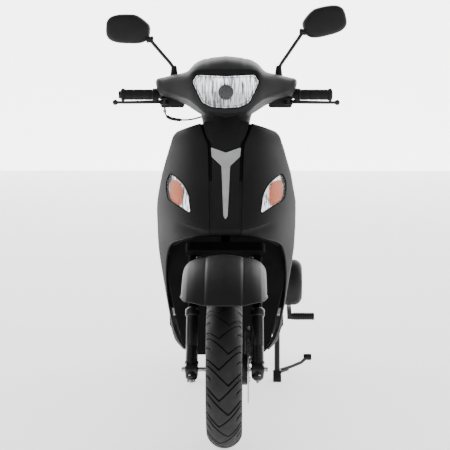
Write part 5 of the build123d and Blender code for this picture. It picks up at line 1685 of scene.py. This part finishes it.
for k in range(16):
    turn = 2 * pi * k / 16
    inner = at(236.8, crank[0] + 18 * cos(turn), crank[1] + 18 * sin(turn))
    outer = at(236.8, crank[0] + 52 * cos(turn + 0.25), crank[1] + 52 * sin(turn + 0.25))
    engine_parts.append(dressed(sweep("fan_fin", [inner, (inner + outer) / 2, outer],
                                      circle_section(3, 8)), trim_black))
for offset in (-26, -9, 9, 26):
    start = at(149.2, crank[0] + 96, crank[1] - 18 + offset)
    end = at(149.2, rear_hub[0] - 30, rear_hub[1] + 6 + offset * 0.75)
    rib = sweep("case_rib", [start, start.lerp(end, 0.5), end], oval_section(4, 2.6, 10))
    rib.data.materials.append(trim_black)
    engine_parts.append(rib)
engine_parts.append(dressed(lathe("hub_ring", [(148, 20), (148, 44), (152, 44), (153.4, 41), (153.4, 26),
                                               (151, 20)], at(0, *rear_hub), (1, 0, 0), 48), trim_black))
engine_parts.append(dressed(lathe("oil_cap", [(0, 0.4), (0, 11), (3, 12), (9, 12), (11, 9), (11, 0.4)],
                                  at(149, 1165, 222), (1, 0, 0), 12, False), rubber_mat))
finish_piece(join("drive_case_detail", engine_parts), None, "engine", (), 35)



def ribbed_section(index, share):
    """The section of a corrugated hose: every other one stands out."""
    return circle_section(16 + 1.4 * (index % 2), 24)(index, share)


block_parts = []
for k in range(7):
    z = 262 + 11 * k
    fin = plate("cylinder_fin", [(x, d) for x, d in rounded([(-44, 822), (44, 822), (44, 902),
                                                             (-44, 902)], 8, 4, 12)],
                lambda x, d, lift: at(x, d, z + lift), -1.3, 1.3, 0.5)
    fin.data.materials.append(alloy_mat)
    block_parts.append(fin)
for x in (-30, 30):
    block_parts.append(dressed(hex_bolt("head_bolt", at(x, 820, 340 if x > 0 else 268), (0, -1, 0), 9,
                                        1.5), steel_mat))
block_parts.append(dressed(lathe("spark_plug", [(0, 0.4), (0, 8), (8, 8), (9, 6), (20, 6), (22, 8),
                     (34, 8), (36, 5), (40, 0.4)], at(-40, 850, 320), (-1, 0, 0.2), 20, False), rubber_mat))
for d, z in ((1010, 240), (1060, 330), (1130, 260), (1180, 200), (960, 210)):
    block_parts.append(dressed(hex_bolt("block_bolt", at(-59.5, d, z), (-1, 0, 0), 9, 4), steel_mat))
box_parts = [rounded_box("filter_lid", (148, 1089, 362), (152.5, 1168, 414), 2, trim_black)]
for d in (1104, 1122, 1140, 1156):
    box_parts.append(rounded_box("filter_rib", (151, d - 3, 368), (154, d + 3, 408), 1.2, trim_black))
for d, z in ((1093, 366), (1164, 366), (1093, 410), (1164, 410)):
    box_parts.append(dressed(screw("filter_screw", at(152, d, z), (1, 0, 0), 4.5), steel_mat))
intake_path = smooth_path([at(66, 1120, 382), at(40, 1090, 384), at(16, 1040, 376), at(4, 1000, 362)], 8)
box_parts.append(dressed(sweep("intake_hose", intake_path, ribbed_section), rubber_mat))
finish_piece(join("engine_block_detail", block_parts + box_parts), None, "engine", (), 35)

pipe_start, pipe_end = at(-150, 1004, 296), at(-150, 1360, 352)
pipe_run = (pipe_end - pipe_start).normalized()
can_parts = []
for along, wide in ((6, 51), (40, 51), (330, 51), (352, 50.6)):
    band = lathe("can_band", [(along, 46), (along, wide - 1), (along + 1.5, wide), (along + 6.5, wide),
                              (along + 8, wide - 1), (along + 8, 46)],
                 pipe_start, pipe_run, 56)
    band.data.materials.append(exhaust_mat)
    can_parts.append(band)
shield_radius = 55.5
shield_rows_outer = []
up_dir = Vector((1, 0, 0)).cross(pipe_run).normalized()
if up_dir.z < 0:
    up_dir = -up_dir
for i in range(25):
    along = 60 + 230 * i / 24
    row = []
    for k in range(29):
        turn = radians(105 + 120 * k / 28)
        out = Vector((1, 0, 0)) * cos(turn) + up_dir * sin(turn)
        row.append(pipe_start + pipe_run * along * mm + out * shield_radius * mm)
    shield_rows_outer.append(row)
heat = surface("heat_shield", shield_rows_outer)
thicken(heat, 1.6)
for k in range(7):
    along = 86 + 30 * k
    middle = pipe_start + pipe_run * along * mm + (Vector((-1, 0, 0)) * 0.96 + up_dir * 0.25) * 0.0555
    slot = rounded_box("slot", (-8, -5, -22), (8, 5, 22), 3)
    slot.data.transform(Matrix.Translation(-at(0, 0, 0)))
    slot.data.transform(Matrix.Translation(middle))
    cut(heat, slot)
heat.data.materials.clear()
heat.data.materials.append(chrome_mat)
can_parts.append(heat)
for along in (70, 280):
    for turn in (118, 212):
        out = Vector((1, 0, 0)) * cos(radians(turn)) + up_dir * sin(radians(turn))
        spot = pipe_start + pipe_run * along * mm + out * 0.0555
        can_parts.append(dressed(hex_bolt("shield_bolt", spot, out, 7, 3.5), steel_mat))
can_parts.append(dressed(lathe("tail_pipe", [(354, 9), (354, 13), (378, 13), (379, 12), (379, 10),
                                             (360, 9)], pipe_start, pipe_run, 32), chrome_mat))
finish_piece(join("exhaust_detail", can_parts), None, "engine", (), 35)

pedal_parts = []
for k in range(9):
    x = 214 + 7.4 * k
    pedal_parts.append(lathe("pedal_ring", [(x, 9), (x, 12), (x + 1, 12.8), (x + 3.4, 12.8), (x + 4.4, 12),
                                            (x + 4.4, 9)],
                             at(0, 945, 188), (1, 0, 0), 28))
    pedal_parts[-1].data.materials.append(rubber_mat)
pedal_parts.append(dressed(hex_bolt("kick_bolt", at(206, 1100, 225), (1, 0, 0), 11, 6), steel_mat))
finish_piece(join("kick_pedal_rubber", pedal_parts), None, "kick", (), 35)

stand_parts = []
for x in (157, -118):
    stand_parts.append(rounded_box("foot_pad", (x - 13, 799, 1), (x + 13, 850, 7), 2, rubber_mat))
stand_parts.append(dressed(lathe("tang_pad", [(-13, 0.4), (-13, 9), (-11, 10.4), (11, 10.4), (13, 9),
                                           (13, 0.4)], at(259, 950, 52), (1, 0, 0), 28, False), rubber_mat))
finish_piece(join("stand_rubbers", stand_parts), None, "stand", (), 35)

shock_head, shock_tail = at(86, 1200, 620), at(86, 1250, 320)
shock_run = (shock_tail - shock_head).normalized()
collar_ring = dressed(lathe("preload_ring", [(31, 18), (31, 26.6), (34, 27), (41, 27), (43, 25),
                                             (43, 18)], shock_head, shock_run, 12), alloy_mat)
eye_bush = dressed(lathe("eye_bush", [(-13, 7.4), (-13, 12), (13, 12), (13, 7.4)], shock_head, (1, 0, 0),
                         28), rubber_mat)
finish_piece(join("shock_collar", [collar_ring, eye_bush]), None, "shock_body", (), 35)

# ------------------------------------------------------------------ wheels


def cast_wheel(axle, hub_half, hub_radius):
    """A cast wheel: barrel with rolled flanges, five waisted spokes, hub with ribs and a valve."""
    barrel = lathe("barrel", [(-35, 118.5), (-35, 132), (-33.6, 134), (-31.6, 134), (-30.8, 132),
                              (-30.6, 127), (-20, 126.4), (0, 122), (20, 126.4), (30.6, 127), (30.8, 132),
                              (31.6, 134), (33.6, 134), (35, 132), (35, 118.5), (33, 117.4), (22, 113.4),
                              (0, 113), (-22, 113.4), (-33, 117.4)], axle, (1, 0, 0), 120)
    parts = [barrel]
    for k in range(5):
        turn = 2 * pi * k / 5 + pi / 2
        out = Vector((0, cos(turn), sin(turn)))
        across = Vector((0, -sin(turn), cos(turn)))
        rows = []
        for i in range(17):
            share = i / 16
            reach = hub_radius - 4 + (114 - hub_radius + 4) * share
            wide = 9.5 + 7 * (2 * share - 0.9) ** 2 + 3 * soft_step((share - 0.86) / 0.14)
            deep = 13.4 - 2.2 * sin(pi * share)
            row = []
            for j in range(28):
                a = 2 * pi * j / 28
                c, s = cos(a), sin(a)
                x = deep * squared(c, 0.45)
                y = wide * squared(s, 0.6)
                face = 1 if x > 0 else -1
                x -= (2.6 * exp(-(y / (wide * 0.45)) ** 2) * face
                      * soft_step(share / 0.15) * soft_step((1 - share) / 0.15))
                row.append(axle + Vector((x * mm, 0, 0)) + across * y * mm + out * reach * mm)
            rows.append(row)
        parts.append(surface("spoke", rows, closed_rows=True, cap_ends=True))
    hub_profile = [(-hub_half, 8), (-hub_half, 15), (-hub_half + 2, 17), (-hub_half + 8, 18),
                   (-hub_half + 12, hub_radius - 2), (-16, hub_radius + 2), (16, hub_radius + 2),
                   (hub_half - 12, hub_radius - 2), (hub_half - 8, 18), (hub_half - 2, 17), (hub_half, 15),
                   (hub_half, 8)]
    parts.append(lathe("hub", hub_profile, axle, (1, 0, 0), 64))
    for part in parts:
        part.data.materials.append(rim_mat)
    valve = lathe("valve", [(0, 0.4), (0, 4), (6, 4), (8, 3), (20, 2.6), (21, 3.4), (26, 3.4), (27, 0.4)],
                  axle + Vector((0.012, 0.1125 * cos(radians(54)), 0.1125 * sin(radians(54)))),
                  (0.5, -cos(radians(54)), -sin(radians(54))), 16, False)
    valve.data.materials.append(rubber_mat)
    parts.append(valve)
    return parts


front_parts = cast_wheel(front_axle, 46, 28)
front_parts.append(dressed(lathe("disc_carrier", [(44, 9), (44, 39), (46, 41), (59, 41), (60.6, 38),
                                                  (60.6, 9)], front_axle, (1, 0, 0), 64), rim_mat))
finish_piece(join("front_wheel_cast", front_parts), None, "front_wheel", ["front_rim"], 35)
disc_bolts = []
for k in range(5):
    turn = 2 * pi * k / 5 + 0.3
    disc_bolts.append(hex_bolt("disc_bolt", front_axle + Vector((0.065, 0.034 * cos(turn),
                                                                 0.034 * sin(turn))), (1, 0, 0), 6, 3))
disc_ring = lathe("disc_ring", [(60.9, 48), (60.9, 50), (65.1, 50), (65.1, 48)], front_axle, (1, 0, 0), 72)
disc_bolts.append(disc_ring)
for part in disc_bolts:
    part.data.materials.append(disc_mat)
finish_piece(join("disc_fixings", disc_bolts), None, "front_wheel", (), 35)

# ------------------------------------------------------------------ instrument panel


def dash_place(x, z, lift):
    """A point on the rider's side of the rear cowl, raised by lift along its slope."""
    loop = pod_row(min(abs(x), 199))[49:66]
    d, slope = loop[-1].y, Vector((0, 0, 1))
    for upper, lower in zip(loop, loop[1:]):
        if lower.z <= z <= upper.z:
            share = (upper.z - z) / max(upper.z - lower.z, 0.001)
            d = upper.y + (lower.y - upper.y) * share
            slope = (upper - lower)
    slope.x = 0
    slope.normalize()
    return at(x, d + slope.z * lift, z - slope.y * lift)


dash_outline = soft_outline([(-60, 1004), (60, 1004), (66, 990), (48, 964), (-48, 964), (-66, 990)], 9,
                            5, 4)
dash_face = filled_grid("dash_face", dash_outline, lambda x, z, lift: dash_place(x, z, 1.0), 2.5)
thicken(dash_face, 0.8)
dash_face.data.materials.append(liner_and_shade_mat)
dash_parts = [dash_face, face_bead("dash_bezel", dash_outline, lambda x, z, lift: dash_place(x, z, lift),
                                   2.4, 3.0, trim_black)]
for x0, radius in ((-30, 15), (6, 17.5), (38, 12)):
    ring_path = [dash_place(x0 + radius * cos(2 * pi * k / 40),
                            985 + radius * 0.9 * sin(2 * pi * k / 40), 2.0) for k in range(41)]
    dash_parts.append(dressed(sweep("dial_ring", ring_path, circle_section(0.9, 8)), silver_mat))
    for k in range(11):
        turn = radians(-30 + 24 * k)
        inner = 0.76 if k % 2 else 0.66
        mark = sweep("dial_mark", [dash_place(x0 + radius * r * cos(turn),
                                              985 + radius * 0.9 * r * sin(turn), 1.9)
                                   for r in (inner, 0.9)], circle_section(0.45, 6))
        mark.data.materials.append(silver_mat)
        dash_parts.append(mark)
    needle = sweep("dial_needle", [dash_place(x0 - radius * r * 0.7, 985 - radius * r * 0.5, 2.6)
                                   for r in (-0.15, 0.4, 0.9)],
                   circle_section(0.6, 6))
    needle.data.materials.append(red_mat)
    dash_parts.append(needle)
for x0, material in ((-52, amber_mat), (54, amber_mat), (24, red_mat)):
    lamp_z = 972 if material is red_mat else 991
    lamp = plate("telltale", [(x0 + 2.4 * cos(2 * pi * k / 14), lamp_z + 2.4 * sin(2 * pi * k / 14))
                              for k in range(14)], dash_place, 0.8, 2.6, 0.5)
    lamp.data.materials.append(material)
    dash_parts.append(lamp)
finish_piece(join("instrument_panel", dash_parts), None, "steering", (), 40)
dash_cover = filled_grid("dash_cover", dash_outline,
                         lambda x, z, lift: dash_place(x, z, 3.6 + 1.4 * (1 - (x / 66) ** 2)), 3)
thicken(dash_cover, 1.0)
finish_piece(dash_cover, signal_lens_mat, "steering", (), 50)

# ------------------------------------------------------------------ rear wheel

rear_parts = cast_wheel(rear_axle, 38, 52)
drum = lathe("drum", [(-40, 9), (-40, 40), (-37, 52), (-30, 58), (-24, 60), (-16, 60), (-14, 57), (-10, 57),
                      (-8, 60), (0, 60), (2, 57), (6, 57), (8, 60), (16, 60), (18, 57), (22, 57), (24, 60),
                      (32, 60), (34, 57), (38, 57), (40, 60), (50, 60), (50, 54), (8, 52),
                      (6, 9)], rear_axle, (1, 0, 0), 96)
drum.data.materials.append(rim_mat)
shaft = dressed(lathe("rear_shaft", [(-62, 0.5), (-62, 6.5), (-60.5, 7.8), (94, 7.8), (95, 0.5)],
                      rear_axle, (1, 0, 0), 32, False), steel_mat)
axle_nut = dressed(hex_bolt("rear_axle_nut", rear_axle + Vector((-0.040, 0, 0)), (-1, 0, 0), 14, 16),
                   steel_mat)
finish_piece(join("rear_wheel_cast", rear_parts + [drum, shaft, axle_nut]), None, "rear_wheel",
             ["rear_rim"], 35)

# ------------------------------------------------------------------ shock spring, pillar strips

coil_start, coil_end, coil_pitch, coil_radius = 35.0, 268.0, 26.0, 22.0
coil_side = shock_run.orthogonal().normalized()
coil_up = shock_run.cross(coil_side)
coil_turns = (coil_end - coil_start) / coil_pitch
coil_path = []
for k in range(int(coil_turns * 24) + 1):
    turn = 2 * pi * k / 24
    coil_path.append(shock_head + shock_run * (coil_start + coil_pitch * k / 24) * mm
                     + (coil_side * cos(turn) + coil_up * sin(turn)) * coil_radius * mm)
coil = sweep("shock_coil", coil_path, circle_section(3.5, 14))
finish_piece(coil, steel_mat, "shock_rod", ["shock_spring"], 50)
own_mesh(coil)


def joint_strip(side):
    """The strip that closes the gap between the seat pillar and a side panel."""
    rows = []
    for i in range(9):
        share = i / 8
        x, d = 130.5 + 14.5 * share - 2.0 * sin(pi * share), 825 + 28 * share
        rows.append([at(side * x, d, 398 + 290 * k / 40) for k in range(41)])
    strip = surface("strip", rows)
    thicken(strip, 2.2)
    strip.data.materials.append(trim_black)
    return strip


finish_piece(join("pillar_strips", [joint_strip(1), joint_strip(-1)]), None, "chassis",
             (), 40)

# ------------------------------------------------------------------ finish of the CAD nodes that show

# The fork crown is painted near-black, darker than the frame paint: painted shade where the crown stands in
# shadow above the mudguard.
crown_painted_shade_mat = mottled("crown_painted_shade", grey(0.0012), grey(0.002), (0.7, 0.85), IOR=1.12)
node_finish = {
    "wheel_liner": liner_and_shade_mat, "frame_spine": paint_mat, "frame_rails": paint_mat,
    "frame_brackets": paint_mat,
    "floorboard": trim_black, "seat_pillar": trim_black, "side_panels": panel_mat, "tail_light": red_mat,
    "storage_bucket": liner_and_shade_mat, "fuel_tank": translucent_mat, "rear_carrier": paint_mat,
    "rear_mudguard": trim_black,
    "inner_shield": trim_black, "ignition_key": steel_mat, "fuel_cap": trim_black, "seat_base": trim_black,
    "seat_cushion": vinyl_mat, "fork_crown": crown_painted_shade_mat, "handlebar": paint_mat, "brake_disc": disc_mat,
    "front_rim": rim_mat, "rear_rim": rim_mat, "crankcase": alloy_mat, "cylinder": alloy_mat,
    "cvt_cover": trim_black,
    "air_filter": trim_black, "exhaust": exhaust_mat, "kick_lever": paint_mat, "centre_stand": paint_mat,
    "shock_upper": paint_mat, "shock_lower": chrome_mat, "shock_spring": steel_mat,
}
for node_name, material in node_finish.items():
    node = frame["nodes"][node_name]
    node.data.materials.clear()
    node.data.materials.append(material)

# ------------------------------------------------------------------ floor, light and camera


def stage_material(name, level, glow):
    material, tree, shader = node_material(name, (level, level, level), 0.7)
    drift = noise_value(tree, 0.8, 3.0)
    tree.links.new(ramp(tree, drift.outputs[0], (level - 0.02,) * 3, (level + 0.02,) * 3),
                   shader.inputs["Base Color"])
    grain = noise_value(tree, 160.0, 2.0)
    bump(tree, shader, grain.outputs[0], 0.05, 0.0005)
    shader.inputs["Emission Color"].default_value = (1, 1, 1, 1)
    shader.inputs["Emission Strength"].default_value = glow
    return material


floor_reach = 14
backdrop_near, backdrop_top = 9, 12
floor_corners = [(-floor_reach, -floor_reach, 0), (floor_reach, -floor_reach, 0),
                 (floor_reach, floor_reach, 0), (-floor_reach, floor_reach, 0)]
floor = mesh_object("floor", floor_corners, [(0, 1, 2, 3)])
floor.data.materials.append(stage_material("pale_floor", 0.9, 1.2))
backdrop_corners = [(-floor_reach, backdrop_near, -1), (floor_reach, backdrop_near, -1),
                    (floor_reach, backdrop_near, backdrop_top), (-floor_reach, backdrop_near, backdrop_top)]
backdrop = mesh_object("backdrop", backdrop_corners, [(0, 1, 2, 3)])
backdrop.data.materials.append(stage_material("white_backdrop", 0.9, 4.0))

world = bpy.data.worlds.new("studio")
bpy.context.scene.world = world
world.use_nodes = True
world.node_tree.nodes["Background"].inputs["Color"].default_value = (1, 1, 1, 1)
world.node_tree.nodes["Background"].inputs["Strength"].default_value = 0.4


def soft_light(name, place, target, size, power):
    light = bpy.data.lights.new(name, "AREA")
    light.shape = "RECTANGLE"
    light.size, light.size_y = size
    light.energy = power
    obj = bpy.data.objects.new(name, light)
    bpy.context.scene.collection.objects.link(obj)
    obj.location = place
    obj.rotation_euler = (Vector(target) - Vector(place)).to_track_quat("-Z", "Y").to_euler()
    return obj


soft_light("key", (0.0, -2.2, 3.6), (0, -0.3, 0.8), (2.2, 1.0), 8)
soft_light("left_front", (2.3, -2.6, 1.0), (0, -0.4, 0.6), (0.5, 1.8), 9)
soft_light("right_front", (-2.3, -2.6, 1.0), (0, -0.4, 0.6), (0.5, 1.8), 9)
soft_light("left_rim", (2.4, 0.2, 1.3), (0, -0.3, 0.7), (0.7, 2.4), 10)
soft_light("right_rim", (-2.4, 0.2, 1.3), (0, -0.3, 0.7), (0.7, 2.4), 10)

camera = bpy.data.cameras.new("photo_view")
camera.sensor_width = 36
camera.lens = 122.4
camera_obj = bpy.data.objects.new("photo_view", camera)
bpy.context.scene.collection.objects.link(camera_obj)
camera_obj.location = (0.054, -4.672, 1.043)
camera_obj.rotation_euler = (radians(83.6), 0, radians(0.76))
bpy.context.scene.camera = camera_obj
